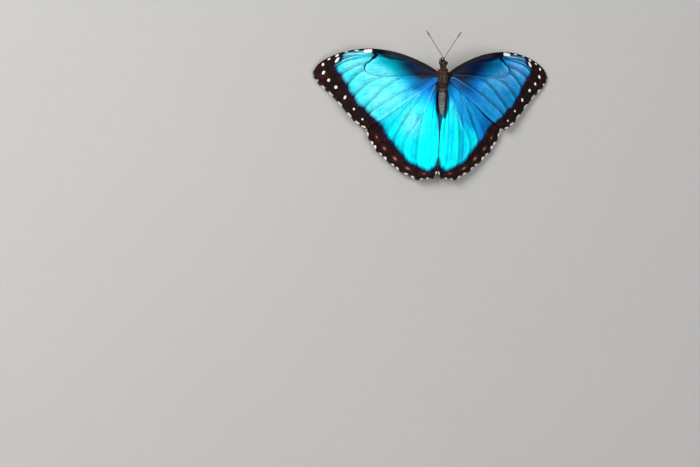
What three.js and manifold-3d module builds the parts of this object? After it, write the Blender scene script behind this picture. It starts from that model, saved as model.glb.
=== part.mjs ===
// A blue morpho butterfly at life size, standing with its wings open and drooped a little.
//
// Millimetres, +Z up, the head towards +Y. The animal is modelled about its wing hinge:
// x is outward from the midline, y forward of the hinge and z above it. The right side is
// modelled, and the left side is its mirror image. At the end the whole model is moved so
// that the feet stand on z = 0, under the middle of its box.

import * as THREE from 'three';
import { mergeVertices } from 'three/addons/utils/BufferGeometryUtils.js';
import Module from 'manifold-3d';

const wasm = await Module();
wasm.setup();

// ---------------------------------------------------------------- driving dimensions

const HINGE_HEIGHT = 13.2;      // of the forewing's hinge above the floor
const JOINT_GAP = 0.3;          // between two parts that touch on the animal
const WING_THICKNESS = 0.55;
const WING_DROOP = 11.0;        // degrees that each wing falls away outward
const FOREWING_PITCH = 2.4;     // degrees that the leading edge is raised
const HINDWING_PITCH = 6.0;     // degrees that the rear edge is lowered
const HINDWING_STEP = 0.9;      // from the forewing's plane down to the hindwing's at the hinge
const FOREWING_CAMBER = 0.7;    // rise of the middle of the wing above its plane
const HINDWING_CAMBER = 0.5;
const HINDWING_FOLD = { depth: 0.8, width: 11.0 };   // its inner part sinks beside the abdomen
const SCALLOP_DEPTH = { fore: 0.22, hind: 0.3 };   // hollow of the outer edge between two veins

// Wing outlines in plan, as [outward, forward] of the hinge. Each outer edge is given by the
// ends of its veins, in order from the leading edge to the rear corner.
const FOREWING = {
  leading: [[2.2, 0.9], [6.5, 3.7], [14.5, 7.6], [25.0, 10.9], [38.0, 12.1], [50.4, 9.9],
    [58.6, 6.0], [61.3, 3.6]],
  veinEnds: [[63.0, 0.6], [62.5, -1.9], [60.2, -5.1], [56.6, -8.1], [52.3, -12.0],
    [47.8, -17.1], [43.4, -21.9], [39.9, -24.5], [37.1, -25.8]],
  trailing: [[2.2, -2.2], [4.5, -4.0], [19.8, -14.4], [29.7, -21.4]],
};
const HINDWING = {
  leading: [[2.2, -1.7], [9.0, -2.4], [18.0, -4.9], [27.0, -9.4], [33.0, -14.2]],
  veinEnds: [[36.2, -18.6], [37.2, -24.5], [34.7, -30.8], [30.5, -36.7], [24.9, -41.6],
    [18.4, -46.5], [10.4, -50.3], [2.0, -49.5], [0.2, -46.4]],
  trailing: [[2.2, -6.8], [2.85, -11.0], [2.2, -17.0], [1.05, -22.0], [0.35, -29.0], [0.2, -38.0]],
};
const WING_GRID = { alongFore: 12, alongHind: 9, perCell: 3 };   // facets of a wing

// Body stations from front to back: [forward, half width, half height, height of the middle].
const HEAD = [[7.6, 0.55, 0.6, -1.55], [6.9, 1.35, 1.45, -1.45], [5.8, 1.75, 1.95, -1.35],
  [4.7, 1.62, 1.75, -1.3], [3.85, 1.5, 1.45, -1.3]];
const THORAX = [[3.55, 1.6, 1.6, -1.25], [2.6, 2.1, 2.25, -1.2], [0.6, 2.9, 3.0, -1.2],
  [-2.2, 2.95, 3.1, -1.25], [-4.6, 2.6, 2.7, -1.3], [-5.75, 2.2, 2.25, -1.3]];
const ABDOMEN = [[-6.05, 2.05, 2.15, -1.3], [-8.5, 2.2, 2.3, -1.35], [-12.0, 2.2, 2.25, -1.4],
  [-15.5, 1.9, 1.9, -1.45], [-18.0, 1.25, 1.2, -1.5], [-19.4, 0.45, 0.45, -1.5]];
const BODY_SIDES = 16;

const EYE = { centre: [1.35, 5.85, -1.15], radius: 1.02 };
const PALP = { path: [[0.55, 6.4, -2.6], [0.58, 7.5, -2.5], [0.56, 8.15, -2.0], [0.54, 8.4, -1.35]],
  radii: [0.36, 0.38, 0.34, 0.25] };
const PROBOSCIS = { centre: [0, 6.95, -4.35], outerRadius: 1.25, innerRadius: 0.35,
  turns: 1.5, thickness: 0.5 };
const ANTENNA = { root: [0.12, 7.15, -0.8], length: 16.8, spread: 34.0, outwardTurn: 3.0,
  shaftRadius: 0.25, clubRadius: 0.4, clubLength: 4.0 };

// Legs as [outward, forward, above the floor] of the hip, the knee, the ankle, the point
// where the foot comes to the floor and its tip, with the radius at each.
const FOOT_RADIUS = 0.27;
const FOOT_CENTRE = 0.2;        // of the foot's round above the floor, which leaves a flat
const LEG_RADII = [0.55, 0.42, 0.28, FOOT_RADIUS, FOOT_RADIUS];
const MIDLEG = [[1.3, -0.4, 9.6], [6.4, 0.4, 9.0], [8.6, 1.1, 1.6], [9.5, 1.4, FOOT_CENTRE],
  [12.4, 2.2, FOOT_CENTRE]];
const HINDLEG = [[1.3, -3.6, 9.7], [6.0, -6.4, 8.6], [8.4, -12.0, 1.7], [9.2, -13.8, FOOT_CENTRE],
  [10.7, -17.4, FOOT_CENTRE]];
// The forelegs are short brushes folded back under the breast.
const FORELEG = [[0.95, 1.5, 9.6], [1.0, 2.6, 9.2], [0.95, 2.85, 8.7], [0.85, 2.4, 8.3],
  [0.75, 1.2, 8.15], [0.7, 0.2, 8.3]];
const FORELEG_RADII = [0.4, 0.36, 0.34, 0.34, 0.3, 0.22];

// ---------------------------------------------------------------- finishes

const finish = (color, roughness, metalness = 0) =>
  new THREE.MeshStandardMaterial({ color, roughness, metalness });
const BLUE_SCALES = () => finish(0x1fa3e6, 0.35, 0.3);
const BROWN_HAIR = () => finish(0x3a2a22, 0.85);
const GREY_HAIR = () => finish(0x5a4c42, 0.85);
const DARK_HORN = () => finish(0x1c1412, 0.5);
const EYE_GLOSS = () => finish(0x140e0c, 0.2);

// ---------------------------------------------------------------- solids

const radians = THREE.MathUtils.degToRad;
const vector = (point) => new THREE.Vector3(...point);

/** A geometry from its corners and triangles, turned so that its faces point outward. */
function closedBody(corners, triangles) {
  let volume = 0;
  for (const [a, b, c] of triangles) {
    volume += corners[a].dot(corners[b].clone().cross(corners[c]));
  }
  const faces = volume < 0 ? triangles.map(([a, b, c]) => [a, c, b]) : triangles;
  const geometry = new THREE.BufferGeometry();
  geometry.setAttribute('position',
    new THREE.Float32BufferAttribute(corners.flatMap((corner) => corner.toArray()), 3));
  geometry.setIndex(faces.flat());
  return geometry;
}

/** A body lofted through rings of equal point count, with a flat cap at each end. */
function loft(rings) {
  const sides = rings[0].length;
  const corners = rings.flat();
  const triangles = [];
  for (let ring = 0; ring + 1 < rings.length; ring++) {
    for (let side = 0; side < sides; side++) {
      const a = ring * sides + side;
      const b = ring * sides + (side + 1) % sides;
      triangles.push([a, b, b + sides], [a, b + sides, a + sides]);
    }
  }
  const last = (rings.length - 1) * sides;
  for (let side = 1; side + 1 < sides; side++) {
    triangles.push([0, side + 1, side], [last, last + side, last + side + 1]);
  }
  return closedBody(corners, triangles);
}

/** A stretch of the animal's body through its stations, made larger all round by grow. */
function bodyLoft(stations, ringCount, grow = 0) {
  const sizes = new THREE.CatmullRomCurve3(stations.map(([y, w, h]) => new THREE.Vector3(y, w, h)));
  const middles = new THREE.CatmullRomCurve3(stations.map(([y, , , z]) => new THREE.Vector3(y, z, 0)));
  const rings = [];
  for (let ring = 0; ring < ringCount; ring++) {
    const part = ring / (ringCount - 1);
    const size = sizes.getPoint(part);
    const end = ring === 0 ? grow : ring === ringCount - 1 ? -grow : 0;
    const points = [];
    for (let side = 0; side < BODY_SIDES; side++) {
      const turn = 2 * Math.PI * side / BODY_SIDES;
      points.push(new THREE.Vector3((size.y + grow) * Math.sin(turn), size.x + end,
        middles.getPoint(part).y + (size.z + grow) * Math.cos(turn)));
    }
    rings.push(points);
  }
  return loft(rings);
}

/** A round limb through the points of a path, with its radius at each, and mitred bends. */
function limb(path, radii, sides) {
  const steps = path.slice(1).map((point, k) => point.clone().sub(path[k]).normalize());
  let across = new THREE.Vector3(0, 0, 1).cross(steps[0]).normalize();
  const rings = path.map((centre, k) => {
    const before = steps[Math.max(k - 1, 0)];
    const after = steps[Math.min(k, steps.length - 1)];
    const along = before.clone().add(after).normalize();
    across = across.clone().addScaledVector(along, -across.dot(along)).normalize();
    const up = along.clone().cross(across);
    return Array.from({ length: sides }, (_, side) => {
      const turn = 2 * Math.PI * side / sides;
      return centre.clone().addScaledVector(across, radii[k] * Math.cos(turn))
        .addScaledVector(up, radii[k] * Math.sin(turn));
    });
  });
  return loft(rings);
}

function toSolid(geometry) {
  const bare = geometry.clone();
  bare.deleteAttribute('normal');
  bare.deleteAttribute('uv');
  const merged = mergeVertices(bare);
  return new wasm.Manifold(new wasm.Mesh({
    numProp: 3,
    vertProperties: new Float32Array(merged.attributes.position.array),
    triVerts: new Uint32Array(merged.index.array),
  }));
}

/** The geometry with each tool's volume taken away. */
function cutAway(geometry, ...tools) {
  let solid = toSolid(geometry);
  for (const tool of tools) solid = solid.subtract(toSolid(tool));
  const mesh = solid.getMesh();
  const result = new THREE.BufferGeometry();
  result.setAttribute('position', new THREE.Float32BufferAttribute(mesh.vertProperties, 3));
  result.setIndex(Array.from(mesh.triVerts));
  return result;
}

// ---------------------------------------------------------------- wings

const planCurve = (points) =>
  new THREE.CatmullRomCurve3(points.map(([u, v]) => new THREE.Vector3(u, v, 0)));

/** A point of the outer edge, a run of shallow hollows between the vein ends. */
function edgePoint(veinEnds, part, depth) {
  const cells = veinEnds.length - 1;
  const cell = Math.min(Math.floor(part * cells), cells - 1);
  const inCell = part * cells - cell;
  const start = new THREE.Vector3(...veinEnds[cell], 0);
  const end = new THREE.Vector3(...veinEnds[cell + 1], 0);
  const inward = new THREE.Vector3(end.y - start.y, start.x - end.x, 0).normalize();
  return start.lerp(end, inCell).addScaledVector(inward, depth * Math.sin(Math.PI * inCell));
}

/** A wing's plan as a patch between its leading, trailing, root and outer edges. */
function wingPlan({ leading, veinEnds, trailing }, depth) {
  const front = planCurve([...leading, veinEnds[0]]);
  const rear = planCurve([...trailing, veinEnds[veinEnds.length - 1]]);
  const [root0, root1, tip0, tip1] =
    [front.getPoint(0), rear.getPoint(0), front.getPoint(1), rear.getPoint(1)];
  return (along, across) => new THREE.Vector3()
    .addScaledVector(front.getPointAt(along), 1 - across)
    .addScaledVector(rear.getPointAt(along), across)
    .addScaledVector(root0.clone().lerp(root1, across), 1 - along)
    .addScaledVector(edgePoint(veinEnds, across, depth), along)
    .addScaledVector(root0, -(1 - along) * (1 - across))
    .addScaledVector(root1, -(1 - along) * across)
    .addScaledVector(tip0, -along * (1 - across))
    .addScaledVector(tip1, -along * across);
}

/** A wing of even thickness: its plan, raised to a drooped, pitched and cambered plane. */
function wing(outline, { depth, pitch, step, camber, steps, fold = { depth: 0, width: 1 } }) {
  const plan = wingPlan(outline, depth);
  const slices = (outline.veinEnds.length - 1) * WING_GRID.perCell;
  const corners = [];
  for (const half of [0.5, -0.5]) {
    for (let i = 0; i <= steps; i++) {
      for (let j = 0; j <= slices; j++) {
        const point = plan(i / steps, j / slices);
        const crown = camber * Math.sin(Math.PI * i / steps) * Math.sin(Math.PI * j / slices);
        const sunk = fold.depth * (1 - THREE.MathUtils.smoothstep(point.x, 0, fold.width));
        point.z = crown - step - sunk - point.x * Math.tan(radians(WING_DROOP))
          + point.y * Math.tan(radians(pitch)) + half * WING_THICKNESS;
        corners.push(point);
      }
    }
  }
  const row = slices + 1;
  const under = (steps + 1) * row;
  const triangles = [];
  const quad = (a, b, c, d) => triangles.push([a, b, c], [a, c, d]);
  for (let i = 0; i < steps; i++) {
    for (let j = 0; j < slices; j++) {
      const a = i * row + j;
      quad(a, a + row, a + row + 1, a + 1);
      quad(under + a, under + a + 1, under + a + row + 1, under + a + row);
    }
    const front = i * row;
    const rear = front + slices;
    quad(front, under + front, under + front + row, front + row);
    quad(rear, rear + row, under + rear + row, under + rear);
  }
  for (let j = 0; j < slices; j++) {
    const outer = steps * row + j;
    quad(j, j + 1, under + j + 1, under + j);
    quad(outer, under + outer, under + outer + 1, outer + 1);
  }
  return closedBody(corners, triangles);
}

// ---------------------------------------------------------------- head and limbs

/** A point's place about the hinge, from its height above the floor. */
const aboveFloor = ([x, y, z]) => new THREE.Vector3(x, y, z - HINGE_HEIGHT);

function eyeball(grow = 0) {
  const geometry = new THREE.SphereGeometry(EYE.radius + grow, 12, 9);
  geometry.translate(...EYE.centre);
  return geometry;
}

/** The feeler's line, which starts out straight and turns outward evenly, and its radii. */
function antenna() {
  const steps = 12;
  const point = vector(ANTENNA.root);
  const path = [point.clone()];
  const radii = [ANTENNA.shaftRadius];
  for (let step = 1; step <= steps; step++) {
    const part = step / steps;
    const heading = radians(ANTENNA.spread + ANTENNA.outwardTurn * (part - 0.5));
    point.x += ANTENNA.length / steps * Math.sin(heading);
    point.y += ANTENNA.length / steps * Math.cos(heading);
    path.push(point.clone());
    const intoClub = THREE.MathUtils.clamp(1 - (1 - part) * ANTENNA.length / ANTENNA.clubLength, 0, 1);
    radii.push(THREE.MathUtils.lerp(ANTENNA.shaftRadius, ANTENNA.clubRadius,
      Math.sin(Math.PI * Math.min(intoClub, 0.85))));
  }
  return limb(path, radii, 6);
}

/** The tongue, coiled upright under the head. */
function proboscis() {
  const steps = 22;
  const { centre, outerRadius, innerRadius, turns, thickness } = PROBOSCIS;
  const path = [];
  for (let step = 0; step <= steps; step++) {
    const part = step / steps;
    const radius = THREE.MathUtils.lerp(outerRadius, innerRadius, part);
    const turn = 2 * Math.PI * turns * part;
    path.push(new THREE.Vector3(centre[0], centre[1] - radius * Math.sin(turn),
      centre[2] + radius * Math.cos(turn)));
  }
  const radii = path.map((_, step) => thickness / 2 * (1 - 0.3 * step / steps));
  return limb(path, radii, 6);
}

/** Everything under the floor, which leaves each foot a flat to stand on. */
function belowFloor() {
  const geometry = new THREE.BoxGeometry(60, 60, 4);
  geometry.translate(0, 0, -HINGE_HEIGHT - 2);
  return geometry;
}

// ---------------------------------------------------------------- the animal

const butterfly = new THREE.Group();
const rightSide = new THREE.Group();
const leftSide = new THREE.Group();
leftSide.scale.x = -1;
butterfly.add(rightSide, leftSide);

function addPart(name, geometry, material, parent = butterfly) {
  const mesh = new THREE.Mesh(geometry, material);
  mesh.name = name;
  parent.add(mesh);
}

function addPair(name, geometry, makeMaterial) {
  addPart(`${name}_right`, geometry, makeMaterial(), rightSide);
  addPart(`${name}_left`, geometry, makeMaterial(), leftSide);
}

const mirroredEye = eyeball(JOINT_GAP).scale(-1, 1, 1);
mirroredEye.setIndex(Array.from(mirroredEye.index.array).reverse());
const roundHead = bodyLoft(HEAD, 9, JOINT_GAP);
const roundThorax = bodyLoft(THORAX, 11, JOINT_GAP);

addPart('head', cutAway(bodyLoft(HEAD, 9), eyeball(JOINT_GAP), mirroredEye), BROWN_HAIR());
addPart('thorax', bodyLoft(THORAX, 11), BROWN_HAIR());
addPart('abdomen', bodyLoft(ABDOMEN, 12), GREY_HAIR());
addPart('proboscis', cutAway(proboscis(), roundHead), DARK_HORN());
addPair('eye', eyeball(), EYE_GLOSS);
addPair('palp', cutAway(limb(PALP.path.map(vector), PALP.radii, 8), roundHead), BROWN_HAIR);
addPair('antenna', cutAway(antenna(), roundHead, eyeball(JOINT_GAP)), DARK_HORN);

addPair('forewing', cutAway(wing(FOREWING, {
  depth: SCALLOP_DEPTH.fore, pitch: FOREWING_PITCH, step: 0, camber: FOREWING_CAMBER,
  steps: WING_GRID.alongFore,
}), roundThorax), BLUE_SCALES);
addPair('hindwing', cutAway(wing(HINDWING, {
  depth: SCALLOP_DEPTH.hind, pitch: HINDWING_PITCH, step: HINDWING_STEP, camber: HINDWING_CAMBER,
  steps: WING_GRID.alongHind, fold: HINDWING_FOLD,
}), roundThorax, bodyLoft(ABDOMEN, 12, JOINT_GAP)), BLUE_SCALES);

addPair('foreleg', cutAway(limb(FORELEG.map(aboveFloor), FORELEG_RADII, 8), roundThorax), BROWN_HAIR);
for (const [name, joints] of [['midleg', MIDLEG], ['hindleg', HINDLEG]]) {
  const leg = limb(joints.map(aboveFloor), LEG_RADII, 8);
  addPair(name, cutAway(leg, roundThorax, belowFloor()), DARK_HORN);
}

// The feet on z = 0, and the middle of the box over the origin.
const box = new THREE.Box3().setFromObject(butterfly);
butterfly.position.set(-(box.min.x + box.max.x) / 2, -(box.min.y + box.max.y) / 2, -box.min.z);

const model = new THREE.Group();
model.add(butterfly);

export default model;
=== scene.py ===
"""A blue morpho butterfly: a still museum model at life size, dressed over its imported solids.

Each sub-assembly is a class. Shapes are worked out in millimetres about the forewing's hinge,
x outward or to the right, y forward and z up, and are set in the solids' own frame when a
mesh is made. The right side is modelled, and the left side is its mirror image.
"""

import logging
import math
from dataclasses import dataclass, field
from enum import Enum
from typing import Callable, Iterable, Optional, Sequence

import bpy
import numpy as np
from mathutils import Matrix, Vector
from mathutils.bvhtree import BVHTree


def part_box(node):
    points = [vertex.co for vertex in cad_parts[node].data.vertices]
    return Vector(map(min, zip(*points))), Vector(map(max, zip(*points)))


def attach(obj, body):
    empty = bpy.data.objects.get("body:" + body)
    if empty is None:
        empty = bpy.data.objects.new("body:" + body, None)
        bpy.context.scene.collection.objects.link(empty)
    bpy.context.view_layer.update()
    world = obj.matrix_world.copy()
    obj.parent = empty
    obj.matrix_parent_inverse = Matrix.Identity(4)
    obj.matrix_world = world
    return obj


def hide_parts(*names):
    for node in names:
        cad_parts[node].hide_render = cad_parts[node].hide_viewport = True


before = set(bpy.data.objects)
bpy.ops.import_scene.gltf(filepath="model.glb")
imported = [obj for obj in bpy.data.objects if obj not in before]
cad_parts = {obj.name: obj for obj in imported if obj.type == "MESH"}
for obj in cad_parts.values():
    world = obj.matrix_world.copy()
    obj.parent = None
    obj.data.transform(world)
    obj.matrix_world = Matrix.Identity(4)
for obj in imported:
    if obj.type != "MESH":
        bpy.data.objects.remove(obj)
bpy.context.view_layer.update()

logging.basicConfig(level=logging.INFO, format="%(name)s: %(message)s")
log = logging.getLogger("butterfly")

Array = np.ndarray
Points = Sequence[Sequence[float]]
Piece = bpy.types.Object
Node = bpy.types.Node
Socket = bpy.types.NodeSocket

MM = 0.001
FAR = 9.0                     # millimetres, nowhere near
THORAX_FRONT = 3.55           # of the thorax solid, forward of the hinge
HINGE_HEIGHT = 13.2           # of the hinge above the floor
HINGE = np.array([0.0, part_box("thorax")[1].y / MM - THORAX_FRONT, HINGE_HEIGHT])


class Side(Enum):
    """The animal's right or left half."""

    RIGHT = 1
    LEFT = -1

    @property
    def word(self) -> str:
        """The side's name as the solids' names end."""
        return self.name.lower()

    @property
    def mirror(self) -> Array:
        """The factor that takes a place of the right side to this side."""
        return np.array([self.value, 1.0, 1.0])


class Slot(Enum):
    """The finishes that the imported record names."""

    SCALES = "wing_scales"
    BROWN_HAIR = "brown_hair"
    GREY_HAIR = "grey_hair"
    HORN = "dark_horn"
    EYE = "eye"


# ------------------------------------------------------------------ lines and fields


def ramp(value: Array, low: float, high: float) -> Array:
    """Rises smoothly from 0 at low to 1 at high.

    Args:
        value: The numbers to judge.
        low: Where the rise starts.
        high: Where it ends, which may be below low for a fall.

    Returns:
        Numbers from 0 to 1.
    """
    part = np.clip((value - low) / (high - low), 0.0, 1.0)
    return part * part * (3.0 - 2.0 * part)


def hump(value: Array, middle: float, width: float) -> Array:
    """A soft bell: 1 where value is at its middle, and near 0 two widths away."""
    return np.exp(-((value - middle) / width) ** 2)


def unit(rows: Array) -> Array:
    """Rows scaled to a length of 1."""
    return rows / np.maximum(np.linalg.norm(rows, axis=-1, keepdims=True), 1e-9)


def lengths_along(line: Array) -> Array:
    """How far along a line each of its corners lies."""
    return np.concatenate([[0.0], np.cumsum(np.linalg.norm(np.diff(line, axis=0), axis=1))])


@dataclass(frozen=True)
class SmoothLine:
    """A smooth line through a few points, by the centripetal rule that the solids use."""

    points: Points

    def at(self, parts: Array) -> Array:
        """Places on the line, evenly by its points.

        Args:
            parts: Parts of the line from 0 to 1.

        Returns:
            One row for each part.
        """
        points = np.asarray(self.points, float)
        padded = np.vstack([2 * points[0] - points[1], points, 2 * points[-1] - points[-2]])
        place = np.clip(parts, 0.0, 1.0) * (len(points) - 1)
        first = np.minimum(place.astype(int), len(points) - 2)
        rest = (place - first)[:, None]
        a, b, c, d = (padded[first + k] for k in range(4))

        def gap(p: Array, q: Array) -> Array:
            """The centripetal spacing of two rows of points."""
            return np.maximum(((q - p) ** 2).sum(1, keepdims=True) ** 0.25, 1e-6)

        ab, bc, cd = gap(a, b), gap(b, c), gap(c, d)
        start = ((b - a) / ab - (c - a) / (ab + bc) + (c - b) / bc) * bc
        end = ((c - b) / bc - (d - b) / (bc + cd) + (d - c) / cd) * bc
        square, cube = rest ** 2, rest ** 3
        return ((2 * cube - 3 * square + 1) * b + (cube - 2 * square + rest) * start
                + (3 * square - 2 * cube) * c + (cube - square) * end)

    def at_length(self, parts: Array) -> Array:
        """Places on the line, evenly by its length.

        Args:
            parts: Parts of the length from 0 to 1.

        Returns:
            One row for each part.
        """
        even = np.linspace(0.0, 1.0, 201)
        length = lengths_along(self.at(even))
        return self.at(np.interp(np.asarray(parts) * length[-1], length, even))


def nearest_on_line(places: Array, line: Array) -> tuple[Array, Array]:
    """How far places are from an open line of straight steps.

    Args:
        places: Rows of points.
        line: The line's corners, one a row.

    Returns:
        The distance of each place, and the part of the line where it is nearest.
    """
    distance = np.full(len(places), np.inf)
    part = np.zeros(len(places))
    steps = len(line) - 1
    for k in range(steps):
        along = line[k + 1] - line[k]
        reach = np.clip((places - line[k]) @ along / max(float(along @ along), 1e-12), 0.0, 1.0)
        apart = np.linalg.norm(places - line[k] - reach[:, None] * along, axis=1)
        nearer = apart < distance
        distance = np.where(nearer, apart, distance)
        part = np.where(nearer, (k + reach) / steps, part)
    return distance, part


def oval(plan: Array, centre: tuple[float, float], size: tuple[float, float]) -> Array:
    """A soft oval patch in plan: 1 at its centre, and near 0 two sizes away."""
    return hump(plan[:, 0], centre[0], size[0]) * hump(plan[:, 1], centre[1], size[1])


def inside_outline(places: Array, outline: Array) -> Array:
    """Whether plan places lie within a closed outline, by counting crossings.

    Args:
        places: Rows of plan points.
        outline: The outline's corners, one a row.

    Returns:
        True for each place inside.
    """
    inside = np.zeros(len(places), bool)
    for start, end in zip(outline, np.roll(outline, -1, axis=0)):
        spans = (start[1] > places[:, 1]) != (end[1] > places[:, 1])
        rise = end[1] - start[1] if end[1] != start[1] else 1e-9
        crossing = start[0] + (places[:, 1] - start[1]) * (end[0] - start[0]) / rise
        inside ^= spans & (places[:, 0] < crossing)
    return inside


@dataclass(frozen=True)
class Spot:
    """An oval mark in a wing's plan."""

    centre: tuple[float, float]
    radii: tuple[float, float]
    heading: float = 0.0       # degrees that its first radius is turned from outward

    def depth(self, plan: Array) -> Array:
        """How deep inside the mark places are, in millimetres, and negative outside.

        Args:
            plan: Rows of plan points.

        Returns:
            One number a place.
        """
        turn = math.radians(self.heading)
        away = plan - np.array(self.centre)
        first = (away @ np.array([math.cos(turn), math.sin(turn)])) / self.radii[0]
        second = (away @ np.array([-math.sin(turn), math.cos(turn)])) / self.radii[1]
        return (1.0 - np.hypot(first, second)) * min(self.radii)


@dataclass(frozen=True)
class Streak:
    """A mark along a line, with its half width at each end."""

    line: Points
    start: float
    end: float

    def depth(self, plan: Array) -> Array:
        """How deep inside the mark places are, in millimetres, and negative outside."""
        distance, part = nearest_on_line(plan, np.asarray(self.line, float))
        return self.start + (self.end - self.start) * part - distance


def deepest(marks: Iterable[Spot | Streak], plan: Array) -> Array:
    """How deep places are inside the mark they lie deepest in.

    Args:
        marks: The marks to look at.
        plan: Rows of plan points.

    Returns:
        Millimetres, negative outside every mark.
    """
    depth = np.full(len(plan), -FAR)
    for mark in marks:
        depth = np.maximum(depth, mark.depth(plan))
    return depth


# ------------------------------------------------------------------ workshop


def set_down_everything() -> None:
    """Deselects all objects, so that an operator acts on nothing old."""
    if bpy.context.object and bpy.context.object.mode != "OBJECT":
        bpy.ops.object.mode_set(mode="OBJECT")
    bpy.ops.object.select_all(action="DESELECT")


def take_up(piece: Piece) -> None:
    """Makes one piece the only selected and active one.

    Args:
        piece: The piece.
    """
    set_down_everything()
    piece.select_set(True)
    bpy.context.view_layer.objects.active = piece


def set_places(piece: Piece, places: Array) -> None:
    """Moves a piece's vertices to places about the hinge.

    Args:
        piece: The piece to shape.
        places: One row a vertex, in millimetres about the hinge.
    """
    world = (np.asarray(places, float) + HINGE) * MM
    piece.data.vertices.foreach_set("co", world.astype(np.float32).ravel())
    piece.data.update()


def get_places(piece: Piece) -> Array:
    """A piece's vertices in millimetres about the hinge.

    Args:
        piece: The piece.

    Returns:
        One row a vertex.
    """
    world = np.empty(len(piece.data.vertices) * 3, np.float32)
    piece.data.vertices.foreach_get("co", world)
    return world.reshape(-1, 3).astype(float) / MM - HINGE


def set_field(piece: Piece, name: str, values: Array) -> None:
    """Keeps one number a vertex on a piece for its finish to read."""
    attribute = piece.data.attributes.new(name, "FLOAT", "POINT")
    attribute.data.foreach_set("value", np.asarray(values, np.float32))


def set_fields(piece: Piece, fields: dict[str, Array]) -> None:
    """Keeps several named fields on a piece's vertices."""
    for name, values in fields.items():
        set_field(piece, name, values)


def flat_grid(name: str, columns: int, rows: int) -> tuple[Piece, Array, Array]:
    """Adds a flat grid, ready to be shaped.

    Args:
        name: The piece's name.
        columns: Cells along.
        rows: Cells across.

    Returns:
        The grid, and each vertex's part along and across from 0 to 1.
    """
    set_down_everything()
    bpy.ops.mesh.primitive_grid_add(x_subdivisions=columns, y_subdivisions=rows, size=2.0)
    piece = bpy.context.object
    piece.name = piece.data.name = name
    corners = np.empty(len(piece.data.vertices) * 3, np.float32)
    piece.data.vertices.foreach_get("co", corners)
    parts = (corners.reshape(-1, 3)[:, :2].astype(float) + 1.0) / 2.0
    return piece, parts[:, 0], parts[:, 1]


def join_pieces(name: str, parts: Sequence[Piece]) -> Piece:
    """Joins pieces into one mesh.

    Args:
        name: The joined piece's name.
        parts: The pieces, the first of which takes in the rest.

    Returns:
        The joined piece.
    """
    take_up(parts[0])
    for part in parts[1:]:
        part.select_set(True)
    if len(parts) > 1:
        bpy.ops.object.join()
    parts[0].name = parts[0].data.name = name
    return parts[0]


def rolled_grid(name: str, places: Array) -> Piece:
    """Rolls a grid up round a middle line and closes its seam and poles.

    Args:
        name: The piece's name.
        places: Along x around x 3, each row ending where it starts.

    Returns:
        The closed piece, its faces outward.
    """
    columns, around = places.shape[0] - 1, places.shape[1] - 1
    piece, along, across = flat_grid(name, columns, around)
    row = np.rint(along * columns).astype(int)
    set_places(piece, places[row, np.rint(across * around).astype(int)])
    take_up(piece)
    bpy.ops.object.mode_set(mode="EDIT")
    bpy.ops.mesh.select_all(action="SELECT")
    bpy.ops.mesh.remove_doubles(threshold=1e-6)
    bpy.ops.mesh.normals_make_consistent(inside=False)
    bpy.ops.object.mode_set(mode="OBJECT")
    return piece


def finish_piece(piece: Piece, finishes: Sequence["Finish"],
                 nodes: Sequence[str] = ()) -> None:
    """Smooths a piece, gives it its finishes and sets it on the frame.

    Args:
        piece: The finished mesh.
        finishes: Its finishes in the order of its material slots.
        nodes: The solids that it takes the place of.
    """
    take_up(piece)
    bpy.ops.object.shade_smooth()
    chosen = np.empty(len(piece.data.polygons), np.int32)
    piece.data.polygons.foreach_get("material_index", chosen)
    piece.data.materials.clear()
    for finish in finishes:
        piece.data.materials.append(finish.material())
    piece.data.polygons.foreach_set("material_index", chosen)
    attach(piece, "root")
    if nodes:
        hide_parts(*nodes)
    log.info("%s: %d faces", piece.name, len(piece.data.polygons))


@dataclass
class Surface:
    """A rolled sheet kept as rows of places, for planting things on it."""

    places: Array              # along x around x 3
    normals: Array

    @staticmethod
    def of(places: Array) -> "Surface":
        """The surface through a grid of places round a middle line.

        Args:
            places: Along x around x 3.

        Returns:
            The surface, its normals turned away from the middle.
        """
        normals = unit(np.cross(np.gradient(places, axis=0), np.gradient(places, axis=1)))
        outward = ((places - places.mean(axis=1, keepdims=True)) * normals).sum()
        return Surface(places, normals if outward > 0 else -normals)

    def scatter(self, count: int, density: Array, rng: np.random.Generator) -> "Roots":
        """Picks places on the surface, the more where its density is high.

        Args:
            count: How many.
            density: Weight of each vertex of the grid.
            rng: The source of chance.

        Returns:
            The roots found.
        """
        p = self.places
        area = np.linalg.norm(np.cross(p[1:, :-1] - p[:-1, :-1], p[:-1, 1:] - p[:-1, :-1]), axis=2)
        weight = (area * density[:-1, :-1]).ravel()
        cells = rng.choice(weight.size, count, p=weight / weight.sum())
        row, column = np.unravel_index(cells, area.shape)
        a, b = rng.random(count)[:, None], rng.random(count)[:, None]

        def inside(grid: Array) -> Array:
            """A grid's value at the picked places."""
            return ((grid[row, column] * (1 - a) + grid[row + 1, column] * a) * (1 - b)
                    + (grid[row, column + 1] * (1 - a) + grid[row + 1, column + 1] * a) * b)

        along = unit(p[row + 1, column] - p[row, column])
        unwrap = np.column_stack([(column + b[:, 0]) / (p.shape[1] - 1),
                                  (row + a[:, 0]) / (p.shape[0] - 1)])
        return Roots(inside(p), unit(inside(self.normals)), along, unwrap)


@dataclass
class Roots:
    """Places that tufts grow from."""

    places: Array
    normals: Array
    lay: Array                 # the way the coat lies
    unwrap: Array              # of each root on the skin's own unwrap


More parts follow.
